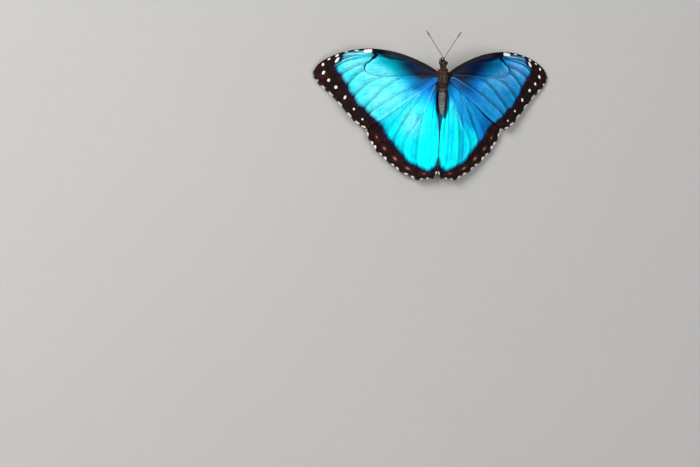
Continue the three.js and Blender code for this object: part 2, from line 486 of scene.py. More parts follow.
@dataclass(frozen=True)
class Tuft:
    """A lock of hair or a long scale: a thin three-sided spike that bends with the lay."""

    length: tuple[float, float]
    width: float
    lift: float                # of the tip, as a part of the length
    stray: float = 0.25        # how far a tuft turns from the lay
    thickness: float = 0.45    # as a part of the width
    bury: float = 0.08         # of the root under the skin, in millimetres
    patch: float = 0.003       # size of its place on the unwrap

    RINGS = (0.0, 0.4, 0.75)
    TAPER = (1.0, 0.85, 0.5)

    def plant(self, name: str, roots: Roots, rng: np.random.Generator,
              sizes: Optional[Array] = None) -> Piece:
        """Grows one tuft at each root, all in one mesh.

        Args:
            name: The coat piece's name.
            roots: Where they grow.
            rng: The source of chance.
            sizes: A factor on each tuft's length.

        Returns:
            The coat piece, with its unwrap and with fields for its tone and tips.
        """
        count = len(roots.places)
        length = rng.uniform(*self.length, count)[:, None]
        if sizes is not None:
            length = length * np.asarray(sizes)[:, None]
        normal = roots.normals
        lay = unit(roots.lay - normal * (roots.lay * normal).sum(1, keepdims=True))
        side = np.cross(normal, lay)
        turn = rng.normal(0.0, self.stray, count)[:, None]
        lay, side = lay * np.cos(turn) + side * np.sin(turn), side * np.cos(turn) - lay * np.sin(turn)
        lift = self.lift * rng.uniform(0.6, 1.4, count)[:, None]
        wide = self.width * rng.uniform(0.75, 1.25, count)[:, None]
        root = roots.places - normal * self.bury

        def spine(part: float) -> Array:
            """The middle of each tuft at a part of its length."""
            rise = lift * part * (1.35 - 0.35 * part)
            return root + length * (lay * part + normal * rise)

        corners = []
        for part, taper in zip(self.RINGS, self.TAPER):
            middle = spine(part)
            half = wide * taper / 2
            corners += [middle - side * half, middle + side * half,
                        middle + normal * half * 2 * self.thickness]
        corners.append(spine(1.0))
        each = len(corners)
        places = np.stack(corners, axis=1).reshape(-1, 3)

        walls = []
        for ring in range(len(self.RINGS) - 1):
            low = 3 * ring
            for k in range(3):
                walls.append((low + k, low + (k + 1) % 3, low + 3 + (k + 1) % 3, low + 3 + k))
        top = 3 * (len(self.RINGS) - 1)
        ends = [(0, 2, 1)] + [(top + k, top + (k + 1) % 3, each - 1) for k in range(3)]
        offsets = each * np.arange(count)[:, None]
        quads = (offsets[:, :, None] + np.array(walls)[None]).reshape(-1, 4)
        tris = (offsets[:, :, None] + np.array(ends)[None]).reshape(-1, 3)
        piece = mesh_of(name, places, quads, tris)

        inside = np.array([[0.0, 0.0], [1.0, 0.0], [0.5, 0.3]] * len(self.RINGS) + [[0.5, 1.0]])
        inside[:, 1] += np.repeat([0.0, 0.3, 0.6, 0.0], [3, 3, 3, 1])
        unwrap = roots.unwrap[:, None, :] + (inside[None] - 0.5) * self.patch
        set_unwrap(piece, np.clip(unwrap.reshape(-1, 2), 0.0, 1.0))
        set_field(piece, "tone", np.repeat(rng.random(count), each))
        tips = np.append(np.repeat(self.RINGS, 3), 1.0)
        set_field(piece, "tip", np.tile(tips, count))
        return piece


def mesh_of(name: str, places: Array, quads: Array, tris: Array) -> Piece:
    """Makes one mesh from arrays of places and faces, facing outward.

    Args:
        name: The piece's name.
        places: Millimetres about the hinge, one row a vertex.
        quads: Four vertex numbers a row.
        tris: Three vertex numbers a row.

    Returns:
        The new piece.
    """
    data = bpy.data.meshes.new(name)
    data.vertices.add(len(places))
    loops = np.concatenate([quads.ravel(), tris.ravel()]).astype(np.int32)
    starts = np.concatenate([4 * np.arange(len(quads)), 4 * len(quads) + 3 * np.arange(len(tris))])
    data.loops.add(len(loops))
    data.loops.foreach_set("vertex_index", loops)
    data.polygons.add(len(quads) + len(tris))
    data.polygons.foreach_set("loop_start", starts.astype(np.int32))
    data.update(calc_edges=True)
    piece = bpy.data.objects.new(name, data)
    bpy.context.collection.objects.link(piece)
    set_places(piece, places)
    data.validate()
    return piece


def set_unwrap(piece: Piece, unwrap: Array) -> None:
    """Lays a piece's faces out on the unwrap that its colours are baked to.

    Args:
        piece: The piece.
        unwrap: One row a vertex.
    """
    layer = piece.data.uv_layers.new(name="OFBake")
    corner = np.empty(len(piece.data.loops), np.int32)
    piece.data.loops.foreach_get("vertex_index", corner)
    layer.data.foreach_set("uv", unwrap[corner].astype(np.float32).ravel())


def tube_frames(path: Array) -> tuple[Array, Array]:
    """Two directions across a path at each point, carried along without twist.

    Args:
        path: The path's points, one a row.

    Returns:
        The sideways and the upward direction at each point.
    """
    along = unit(np.gradient(path, axis=0))
    start = np.array([0.0, 0.0, 1.0]) if abs(along[0][2]) < 0.9 else np.array([0.0, 1.0, 0.0])
    across = np.cross(start, along[0])
    sides, ups = [], []
    for step in along:
        across = across - step * (across @ step)
        across = across / np.linalg.norm(across)
        sides.append(across)
        ups.append(np.cross(step, across))
    return np.array(sides), np.array(ups)


def tube(name: str, path: Array, radii: Array, around: int, side: Side = Side.RIGHT,
         flat: float = 1.0) -> tuple[Piece, Surface]:
    """Rolls a grid into a closed tube along a path, with a point at each end.

    Args:
        name: The piece's name.
        path: The middle of the tube, one point a row.
        radii: The radius at each point.
        around: Faces round the tube.
        side: The side of the animal that it is on.
        flat: Its height as a part of its width.

    Returns:
        The tube and its surface.
    """
    sides, ups = tube_frames(path)
    middle = np.vstack([path[:1], path, path[-1:]])
    radius = np.concatenate([[0.0], radii, [0.0]])
    sides = np.vstack([sides[:1], sides, sides[-1:]])
    ups = np.vstack([ups[:1], ups, ups[-1:]])
    turn = 2 * math.pi * np.arange(around + 1) / around
    places = (middle[:, None, :]
              + radius[:, None, None] * (np.cos(turn)[None, :, None] * sides[:, None, :]
                                         + flat * np.sin(turn)[None, :, None] * ups[:, None, :]))
    places = places * side.mirror
    return rolled_grid(name, places), Surface.of(places if side is Side.RIGHT else places[:, ::-1])


def rounded_path(corners: Points, spacing: float, rounding: float) -> Array:
    """A path through corners, sampled evenly, with the corners rounded off.

    Args:
        corners: The path's corners.
        spacing: The distance between two points of the result.
        rounding: The length over which a corner is rounded.

    Returns:
        The path's points, one a row.
    """
    line = np.asarray(corners, float)
    reach = lengths_along(line)
    count = max(int(reach[-1] / spacing), 4)
    where = np.linspace(0.0, reach[-1], count + 1)
    window = np.minimum(rounding / 2, np.minimum(where, reach[-1] - where))
    result = np.zeros((count + 1, line.shape[1]))
    offsets = np.linspace(-1.0, 1.0, 9)
    for offset in offsets:
        at = where + offset * window
        result += np.column_stack([np.interp(at, reach, line[:, k]) for k in range(line.shape[1])])
    return result / len(offsets)


# ------------------------------------------------------------------ finishes


def tint(red: int, green: int, blue: int) -> tuple[float, float, float, float]:
    """A display colour of 0 to 255 as the linear colour that shaders take.

    Args:
        red: The red part.
        green: The green part.
        blue: The blue part.

    Returns:
        The colour, opaque.
    """
    parts = [c / 255.0 for c in (red, green, blue)]
    linear = [c / 12.92 if c <= 0.04045 else ((c + 0.055) / 1.055) ** 2.4 for c in parts]
    return (*linear, 1.0)


class Board:
    """A node tree being wired, with a short call for each kind of node that is used."""

    def __init__(self, tree: bpy.types.NodeTree) -> None:
        """Takes a tree to add nodes to."""
        self.tree = tree

    def add(self, kind: str, **settings: object) -> Node:
        """Adds a node.

        Args:
            kind: The node's type.
            settings: Its settings.

        Returns:
            The node.
        """
        node = self.tree.nodes.new(kind)
        for key, value in settings.items():
            setattr(node, key, value)
        return node

    def wire(self, source: object, socket: Socket) -> None:
        """Joins an output to a socket, or sets the socket's own value.

        Args:
            source: The output, or a value.
            socket: Where it goes.
        """
        if isinstance(source, Socket):
            self.tree.links.new(source, socket)
        else:
            socket.default_value = source

    def give(self, node: Node, **values: object) -> Node:
        """Wires or sets several of a node's inputs.

        Args:
            node: The node.
            values: What each input gets, spaces in its name written as underscores.

        Returns:
            The node.
        """
        for key, value in values.items():
            self.wire(value, node.inputs[key.replace("_", " ")])
        return node

    def field(self, name: str) -> Socket:
        """A number kept on the piece's vertices."""
        return self.add("ShaderNodeAttribute", attribute_name=name).outputs["Fac"]

    def math(self, operation: str, first: object, second: object, third: object = 0.0,
             clamp: bool = False) -> Socket:
        """A sum of numbers or fields.

        Args:
            operation: The Math node's operation.
            first: The first number or output.
            second: The second one.
            third: The third one, for an operation that takes three.
            clamp: Whether the result is kept from 0 to 1.

        Returns:
            The result.
        """
        node = self.add("ShaderNodeMath", operation=operation, use_clamp=clamp)
        for source, socket in zip((first, second, third), node.inputs):
            self.wire(source, socket)
        return node.outputs[0]

    def swing(self, pattern: Socket, size: float) -> Socket:
        """A pattern about 0.5 as one about 0, and made larger."""
        return self.math("MULTIPLY", self.math("SUBTRACT", pattern, 0.5), size)

    def frayed(self, name: str, fray: Socket, size: float, clamp: bool = False) -> Socket:
        """A number kept on the vertices, made uneven by a pattern."""
        return self.math("ADD", self.field(name), self.math("MULTIPLY", fray, size), clamp=clamp)

    def between(self, value: object, low: float, high: float) -> Socket:
        """Rises smoothly from 0 to 1.

        Args:
            value: The number or output to judge.
            low: Where the rise starts.
            high: Where it ends.

        Returns:
            The rise.
        """
        node = self.add("ShaderNodeMapRange", interpolation_type="SMOOTHSTEP")
        return self.give(node, Value=value, From_Min=low, From_Max=high).outputs["Result"]

    def mix(self, part: object, first: object, second: object, blend: str = "MIX") -> Socket:
        """A blend of two colours.

        Args:
            part: How much of the second there is.
            first: The first colour.
            second: The second colour.
            blend: How the second acts on the first.

        Returns:
            The colour.
        """
        node = self.add("ShaderNodeMix", data_type="RGBA", blend_type=blend)
        self.wire(part, node.inputs[0])
        self.wire(first, node.inputs[6])
        self.wire(second, node.inputs[7])
        return node.outputs[2]

    def spread(self, source: str, scale: float | tuple[float, float, float]) -> Socket:
        """The piece's own coordinates, stretched.

        Args:
            source: "Object", or "UV" for the piece's unwrap.
            scale: The stretch, or that along each axis.

        Returns:
            The coordinates.
        """
        place = self.add("ShaderNodeTexCoord").outputs[source]
        stretch = (scale,) * 3 if isinstance(scale, float) else scale
        return self.give(self.add("ShaderNodeMapping"), Vector=place, Scale=stretch).outputs["Vector"]

    def noise(self, source: str, scale: float | tuple[float, float, float], detail: float = 3.0,
              rough: float = 0.55) -> Socket:
        """A soft random pattern of numbers about 0.5.

        Args:
            source: "Object", or "UV" for the piece's unwrap.
            scale: How fine it is, or how fine along each axis.
            detail: How many finer octaves it has.
            rough: How strong those are.

        Returns:
            The number.
        """
        node = self.give(self.add("ShaderNodeTexNoise"), Vector=self.spread(source, scale),
                         Scale=1.0, Detail=detail, Roughness=rough)
        return node.outputs["Fac"]


def scale_rows() -> bpy.types.NodeTree:
    """The rows of tiny roof-tile scales on a wing, as a height and a slight change of tone.

    Returns:
        The node group, with inputs Streak Tone and Row Depth and outputs Height and Tone.
    """
    name = "scale rows"
    if name in bpy.data.node_groups:
        return bpy.data.node_groups[name]
    tree = bpy.data.node_groups.new(name, "ShaderNodeTree")
    for socket, way in (("Streak Tone", "INPUT"), ("Row Depth", "INPUT"), ("Height", "OUTPUT"),
                        ("Tone", "OUTPUT")):
        tree.interface.new_socket(name=socket, in_out=way, socket_type="NodeSocketFloat")
    board = Board(tree)
    given, made = board.add("NodeGroupInput"), board.add("NodeGroupOutput")
    rows = board.give(board.add("ShaderNodeTexWave", wave_type="BANDS", bands_direction="X"),
                      Vector=board.spread("UV", (46.0, 2.0, 1.0)), Scale=2.0, Distortion=2.5, Detail=2.0)
    streaks = board.noise("UV", (5.0, 90.0, 1.0), 4.0, 0.6)
    specks = board.noise("Object", 2600.0, 2.0, 0.6)
    mottle = board.noise("Object", 260.0, 3.0, 0.55)
    height = board.math("ADD", board.math("MULTIPLY", rows.outputs["Fac"], given.outputs["Row Depth"]),
                        board.math("MULTIPLY", streaks, 0.8))
    swing = board.math("ADD", board.swing(streaks, 1.7), board.swing(specks, 0.9))
    swing = board.math("ADD", swing, board.math("SUBTRACT", mottle, 0.5))
    tone = board.math("MULTIPLY_ADD", swing, given.outputs["Streak Tone"], 1.0)
    board.give(made, Height=height, Tone=tone)
    return tree


class Finish:
    """A finish that makes its material once."""

    title = "finish"

    def material(self) -> bpy.types.Material:
        """The finish's material, made the first time that it is asked for."""
        if self.title in bpy.data.materials:
            return bpy.data.materials[self.title]
        material = bpy.data.materials.new(self.title)
        material.use_nodes = True
        board = Board(material.node_tree)
        shader = material.node_tree.nodes["Principled BSDF"]
        self.paint(board, shader)
        return material

    def paint(self, board: Board, shader: Node) -> None:
        """Wires the finish's own nodes into its shader."""
        raise NotImplementedError

    @staticmethod
    def bump(board: Board, shader: Node, height: Socket,
             strength: float, distance: float) -> None:
        """Raises the surface by a height.

        Args:
            board: The finish's board.
            shader: Its shader.
            height: The height, about 0 to 1.
            strength: How strong the effect is.
            distance: Millimetres of a height of 1.
        """
        node = board.give(board.add("ShaderNodeBump"), Strength=strength, Distance=distance * MM,
                          Height=height)
        board.wire(node.outputs["Normal"], shader.inputs["Normal"])


@dataclass(frozen=True)
class BlueScales(Finish):
    """The upper side: metallic blue scales in a dark brown border with white spots, and painted reflection,
    sheen and shade on the blue.
    """

    title: str = "blue wing scales"
    blue: tuple = tint(18, 150, 250)
    cyan: tuple = tint(6, 228, 247)
    night: tuple = tint(5, 13, 50)
    smoke: tuple = tint(34, 37, 45)
    navy: tuple = tint(8, 16, 84)
    glint: tuple = tint(136, 192, 250)
    bloom: tuple = tint(190, 236, 255)
    border: tuple = tint(24, 11, 11)
    russet: tuple = tint(56, 23, 18)
    black: tuple = tint(3, 6, 18)
    white: tuple = tint(248, 242, 240)
    pale_blue: tuple = tint(165, 215, 245)
    rust: tuple = tint(168, 108, 88)
    shine: float = 0.9
    roughness: float = 0.34
    plain_roughness: float = 0.72     # of the scales that aren't blue

    def paint(self, board: Board, shader: Node) -> None:
        """Wires the wing's markings.

        Args:
            board: The finish's board.
            shader: Its shader.
        """
        rows = board.give(board.add("ShaderNodeGroup", node_tree=scale_rows()), Streak_Tone=0.62,
                          Row_Depth=0.35)
        ragged = board.noise("UV", (7.0, 120.0, 1.0), 3.0, 0.65)
        fray = board.swing(ragged, 3.0)
        patches = board.noise("Object", 330.0, 3.0, 0.6)

        # painted reflection: the blue leans to cyan where the wing faces the light
        colour = board.mix(board.field("glow"), self.blue, self.cyan)
        tone = board.add("ShaderNodeCombineColor")
        for channel in tone.inputs:
            board.wire(rows.outputs["Tone"], channel)
        colour = board.mix(1.0, colour, tone.outputs["Color"], "MULTIPLY")
        edge = board.frayed("border", fray, 1.0)
        dusk = board.math("MULTIPLY", board.between(edge, -1.8, 0.0), 0.8)
        # the dark of the roots and front edge, with painted shade on the right wings and beside the abdomen
        soot = board.frayed("soot", fray, 0.1, clamp=True)
        # painted sheen: a pale highlight over the blue, which also sets the coat
        frost = board.math("MULTIPLY", board.field("frost"), board.between(rows.outputs["Tone"], 0.7, 1.3))
        frost = board.math("MULTIPLY", frost, board.between(soot, 0.5, 0.0))
        colour = board.mix(board.math("MULTIPLY", frost, 0.2), colour, self.bloom)
        night = board.mix(board.field("smoke"), self.night, self.smoke)
        colour = board.mix(board.math("MAXIMUM", soot, dusk), colour, night)
        near_border = board.between(board.field("border"), -11.0, -0.5)
        line = board.math("MULTIPLY_ADD", near_border, 0.42, 0.3)
        vein = board.math("MULTIPLY", board.between(board.field("vein"), 0.4, 0.12), line)
        colour = board.mix(vein, colour, self.night)
        colour = board.mix(board.field("glint"), colour, self.glint)
        colour = board.mix(board.between(board.field("pale"), -0.1, 0.2), colour, self.pale_blue)

        dark = board.between(edge, -0.2, 0.25)
        brown = board.mix(board.between(patches, 0.48, 0.72), self.border, self.russet)
        brown = board.mix(board.math("MULTIPLY", board.between(edge, 1.5, -0.2), 0.85), brown, self.navy)
        colour = board.mix(dark, colour, brown)
        black = board.between(board.frayed("black", fray, 0.35), -0.15, 0.2)
        strip = board.mix(board.field("smoke"), self.black, self.smoke)
        colour = board.mix(black, colour, strip)
        blotch = board.frayed("rust", fray, 0.2)
        rust = board.between(blotch, -0.9, 0.45)
        colour = board.mix(board.between(blotch, -1.3, -0.1), colour, self.russet)
        colour = board.mix(board.between(blotch, -0.05, 0.35), colour, self.rust)
        white = board.between(board.frayed("white", fray, 0.12), -0.08, 0.12)
        colour = board.mix(white, colour, self.white)

        plain = board.math("MAXIMUM", board.math("MAXIMUM", dark, black), white)
        blue_part = board.math("SUBTRACT", 1.0, board.math("MAXIMUM", plain, rust))
        gloss = board.math("MULTIPLY", blue_part, self.plain_roughness - self.roughness)
        board.give(shader, Base_Color=colour, Metallic=board.math("MULTIPLY", blue_part, self.shine),
                   Roughness=board.math("SUBTRACT", self.plain_roughness, gloss),
                   Coat_Weight=board.math("MULTIPLY", frost, blue_part, clamp=True),
                   Coat_IOR=2.3, Coat_Roughness=0.45, Specular_IOR_Level=0.1)
        self.bump(board, shader, rows.outputs["Height"], 0.5, 0.05)


@dataclass(frozen=True)
class BrownScales(Finish):
    """The underside: brown with cream bands and ringed eyespots."""

    title: str = "brown wing scales"
    ground: tuple = tint(104, 74, 48)
    dark_ground: tuple = tint(58, 38, 26)
    cream: tuple = tint(206, 180, 140)
    black: tuple = tint(14, 11, 11)
    ochre: tuple = tint(203, 150, 60)
    red_brown: tuple = tint(98, 34, 26)
    white: tuple = tint(238, 232, 222)
    roughness: float = 0.7

    def paint(self, board: Board, shader: Node) -> None:
        """Wires the underside's markings.

        Args:
            board: The finish's board.
            shader: Its shader.
        """
        rows = board.give(board.add("ShaderNodeGroup", node_tree=scale_rows()), Streak_Tone=0.5,
                          Row_Depth=0.35)
        ragged = board.noise("UV", (14.0, 60.0, 1.0), 4.0, 0.6)
        fray = board.swing(ragged, 2.4)
        mottle = board.noise("Object", 180.0, 4.0, 0.6)
        colour = board.mix(board.between(mottle, 0.35, 0.7), self.ground, self.dark_ground)
        colour = board.mix(board.math("SUBTRACT", rows.outputs["Tone"], 0.9, clamp=True),
                           colour, self.cream)
        colour = board.mix(board.between(board.field("vein"), 0.35, 0.1), colour, self.dark_ground)
        band = board.between(board.frayed("cream", fray, 1.0), -0.45, 0.4)
        band = board.math("MULTIPLY", band, board.between(mottle, 0.2, 0.62))
        colour = board.mix(board.math("MULTIPLY", band, 0.8), colour, self.cream)
        rings = board.frayed("ring", fray, 0.02)
        for outer, paint in ((1.12, self.dark_ground), (1.0, self.ochre), (0.78, self.red_brown),
                             (0.66, self.black), (0.2, self.white)):
            colour = board.mix(board.between(rings, outer + 0.03, outer - 0.03), colour, paint)
        board.give(shader, Base_Color=colour, Roughness=self.roughness)
        self.bump(board, shader, rows.outputs["Height"], 0.5, 0.05)


@dataclass(frozen=True)
class VeinHorn(Finish):
    """A wing vein: dark above and tan below."""

    title: str = "wing veins"
    above: tuple = tint(6, 96, 150)
    glint: tuple = tint(136, 192, 250)
    dark: tuple = tint(8, 7, 12)
    below: tuple = tint(120, 84, 52)

    def paint(self, board: Board, shader: Node) -> None:
        """Wires the veins' colours.

        Args:
            board: The finish's board.
            shader: Its shader.
        """
        up = board.add("ShaderNodeSeparateXYZ")
        board.wire(board.add("ShaderNodeNewGeometry").outputs["Normal"], up.inputs[0])
        grain = board.noise("Object", 1500.0)
        blue = board.mix(board.field("glint"), self.above, self.glint)
        top = board.mix(board.field("dark"), blue, self.dark)
        colour = board.mix(board.between(up.outputs["Z"], -0.1, -0.35), top, self.below)
        board.give(shader, Base_Color=colour, Metallic=0.85, Roughness=0.5, Specular_IOR_Level=0.1)
        self.bump(board, shader, grain, 0.3, 0.03)


@dataclass(frozen=True)
class FringeScales(Finish):
    """The fringe of long scales at a wing's edge, white in the hollows and dark between."""

    title: str = "wing fringe"
    dark: tuple = tint(26, 16, 16)
    white: tuple = tint(252, 248, 242)
    worn: tuple = tint(110, 84, 70)

    def paint(self, board: Board, shader: Node) -> None:
        """Wires the fringe's colours.

        Args:
            board: The finish's board.
            shader: Its shader.
        """
        colour = board.mix(board.between(board.field("white"), 0.3, 0.7), self.dark, self.white)
        worn = board.math("MULTIPLY", board.field("tone"), 0.12)
        board.give(shader, Base_Color=board.mix(worn, colour, self.worn), Roughness=0.7)


@dataclass(frozen=True)
class BodyHair(Finish):
    """The body's coat and the skin under it, which carry the same markings."""

    title: str = "body hair"
    brown: tuple = tint(94, 75, 64)
    warm: tuple = tint(98, 60, 42)
    grey: tuple = tint(105, 105, 106)
    dark: tuple = tint(13, 9, 7)
    pale: tuple = tint(176, 178, 186)
    tip: tuple = tint(118, 104, 94)
    tufted: bool = True

    def paint(self, board: Board, shader: Node) -> None:
        """Wires the coat's colours.

        Args:
            board: The finish's board.
            shader: Its shader.
        """
        mottle = board.noise("Object", 900.0, 4.0, 0.6)
        colour = board.mix(board.field("warm"), self.brown, self.warm)
        colour = board.mix(board.field("grey"), colour, self.grey)
        if self.tufted:
            tip = board.math("MULTIPLY", board.between(board.field("tip"), 0.3, 1.0), 0.22)
            colour = board.mix(tip, colour, self.tip)
        dark = board.math("ADD", board.field("dark"), board.swing(mottle, 1.5), clamp=True)
        colour = board.mix(dark, colour, self.dark)
        colour = board.mix(board.field("pale"), colour, self.pale)
        if self.tufted:
            colour = board.mix(board.math("MULTIPLY", board.field("tone"), 0.5), colour, self.dark)
        else:
            colour = board.mix(board.between(mottle, 0.55, 0.75), colour, self.dark)
            self.bump(board, shader, mottle, 0.7, 0.12)
        board.give(shader, Base_Color=colour, Roughness=0.85, Specular_IOR_Level=0.2)


@dataclass(frozen=True)
class Horn(Finish):
    """The hard dark skin of legs, feelers and tongue."""

    title: str = "dark horn"
    colour: tuple = tint(40, 27, 22)
    worn: tuple = tint(92, 68, 52)
    roughness: float = 0.45

    def paint(self, board: Board, shader: Node) -> None:
        """Wires the horn's colours.

        Args:
            board: The finish's board.
            shader: Its shader.
        """
        grain = board.noise("Object", 1400.0, 4.0, 0.6)
        colour = board.mix(board.between(grain, 0.4, 0.75), self.colour, self.worn)
        board.give(shader, Base_Color=colour, Roughness=self.roughness)
        self.bump(board, shader, grain, 0.5, 0.05)


@dataclass(frozen=True)
class EyeGloss(Finish):
    """A compound eye: very dark brown under a gloss, with fine facets."""

    title: str = "compound eye"
    dark: tuple = tint(14, 9, 8)
    brown: tuple = tint(46, 26, 18)

    def paint(self, board: Board, shader: Node) -> None:
        """Wires the eye's facets.

        Args:
            board: The finish's board.
            shader: Its shader.
        """
        cells = board.give(board.add("ShaderNodeTexVoronoi", feature="F1"),
                           Vector=board.spread("Object", 9000.0), Scale=1.0)
        bands = board.noise("Object", (300.0, 300.0, 1500.0), 2.0)
        colour = board.mix(board.between(bands, 0.4, 0.7), self.dark, self.brown)
        board.give(shader, Base_Color=colour, Roughness=0.42, Specular_IOR_Level=0.3,
                   Coat_Weight=0.12, Coat_Roughness=0.2)
        height = board.math("SUBTRACT", 1.0, cells.outputs["Distance"])
        self.bump(board, shader, height, 0.4, 0.03)


@dataclass(frozen=True)
class PaleFloor(Finish):
    """The plain pale floor."""

    title: str = "pale floor"
    colour: tuple = tint(190, 189, 187)
    soft: tuple = tint(185, 184, 182)

    def paint(self, board: Board, shader: Node) -> None:
        """Wires a very faint unevenness into the floor.

        Args:
            board: The finish's board.
            shader: Its shader.
        """
        soft = board.noise("Object", 6.0)
        board.give(shader, Base_Color=board.mix(soft, self.colour, self.soft), Roughness=0.8)


# ------------------------------------------------------------------ wings

Tone = Callable[[Array, Side], Array]         # from plan places and a side to numbers from 0 to 1


@dataclass(frozen=True)
class WingShape:
    """A wing's plan and the surface it lies on, as its solid has them."""

    leading: Points
    vein_ends: Points
    trailing: Points
    scallop: float
    pitch: float
    step: float
    camber: float
    fold: tuple[float, float] = (0.0, 1.0)     # depth and width of the sunk inner part
    droop: float = 11.0

    def margin(self, across: Array) -> Array:
        """The outer edge, a run of shallow hollows between the vein ends.

        Args:
            across: Parts of the edge from the leading to the rear corner.

        Returns:
            Plan places.
        """
        ends = np.asarray(self.vein_ends, float)
        cells = len(ends) - 1
        cell = np.minimum((across * cells).astype(int), cells - 1)
        inside = (across * cells - cell)[:, None]
        start, end = ends[cell], ends[cell + 1]
        inward = unit(np.column_stack([end[:, 1] - start[:, 1], start[:, 0] - end[:, 0]]))
        return start + (end - start) * inside + inward * self.scallop * np.sin(math.pi * inside)

    def plan(self, along: Array, across: Array) -> Array:
        """Plan places of the patch between the wing's four edges.

        Args:
            along: Parts from the root to the outer edge.
            across: Parts from the leading to the trailing edge.

        Returns:
            Plan places, one a row.
        """
        front = SmoothLine([*self.leading, self.vein_ends[0]])
        rear = SmoothLine([*self.trailing, self.vein_ends[-1]])
        corner = [np.asarray(p, float) for p in
                  (self.leading[0], self.trailing[0], self.vein_ends[0], self.vein_ends[-1])]
        s, t = along[:, None], across[:, None]
        return (front.at_length(along) * (1 - t) + rear.at_length(along) * t
                + (corner[0] * (1 - t) + corner[1] * t) * (1 - s) + self.margin(across) * s
                - corner[0] * (1 - s) * (1 - t) - corner[1] * (1 - s) * t
                - corner[2] * s * (1 - t) - corner[3] * s * t)

    def height(self, plan: Array, along: Array, across: Array) -> Array:
        """How high the middle of the solid's wall lies above the hinge.

        Args:
            plan: Plan places.
            along: Their parts from the root to the outer edge.
            across: Their parts from the leading to the trailing edge.

        Returns:
            Millimetres.
        """
        crown = self.camber * np.sin(math.pi * along) * np.sin(math.pi * across)
        sunk = self.fold[0] * ramp(plan[:, 0], self.fold[1], 0.0)
        return (crown - self.step - sunk - plan[:, 0] * math.tan(math.radians(self.droop))
                + plan[:, 1] * math.tan(math.radians(self.pitch)))


@dataclass(frozen=True)
class Vein:
    """A vein through a few plan points, with its radius at root and end."""

    points: Points
    root: float = 0.15
    end: float = 0.07

    def line(self) -> Array:
        """The vein's plan line, finely stepped."""
        length = sum(math.dist(a, b) for a, b in zip(self.points, self.points[1:]))
        steps = max(int(length / 0.7), 6)
        return SmoothLine(self.points).at_length(np.linspace(0.0, 1.0, steps + 1))


@dataclass(frozen=True)
class WingPattern:
    """A wing's markings in plan."""

    border_edge: Points            # the blue field's outer limit
    border_beyond: Points          # corners that close the border round the outside
    tooth: float                   # how far the border reaches in along the veins
    faded: float = 0.0             # how far the veins' dark lines thin out towards the border
    white: tuple = ()
    fringe: tuple = ()             # white marks at the outer edge
    black: tuple = ()
    rust: tuple = ()
    pale: tuple = ()
    rings: tuple = ()              # underside eyespots: centre and radius
    cream: tuple = ()              # underside bars

    def border_depth(self, plan: Array, to_vein: Array) -> Array:
        """How deep places are in the dark border, in millimetres.

        Args:
            plan: Plan places.
            to_vein: How far they are from the nearest vein.

        Returns:
            Millimetres, negative outside the border.
        """
        edge = SmoothLine(self.border_edge).at_length(np.linspace(0.0, 1.0, 90))
        distance, _ = nearest_on_line(plan, edge)
        inside = inside_outline(plan, np.vstack([edge, np.asarray(self.border_beyond, float)]))
        depth = np.where(inside, distance, -distance)
        return depth + self.tooth * np.exp(-(to_vein / 0.32) ** 2)

    def ring_field(self, plan: Array) -> Array:
        """The distance to the nearest eyespot's middle as a part of its radius.

        Args:
            plan: Rows of plan points.

        Returns:
            One number a place.
        """
        nearest = np.full(len(plan), 2.0)
        for centre, radius in self.rings:
            away = np.linalg.norm((plan - np.array(centre)) * np.array([1.0, 0.88]), axis=1)
            nearest = np.minimum(nearest, away / radius)
        return nearest


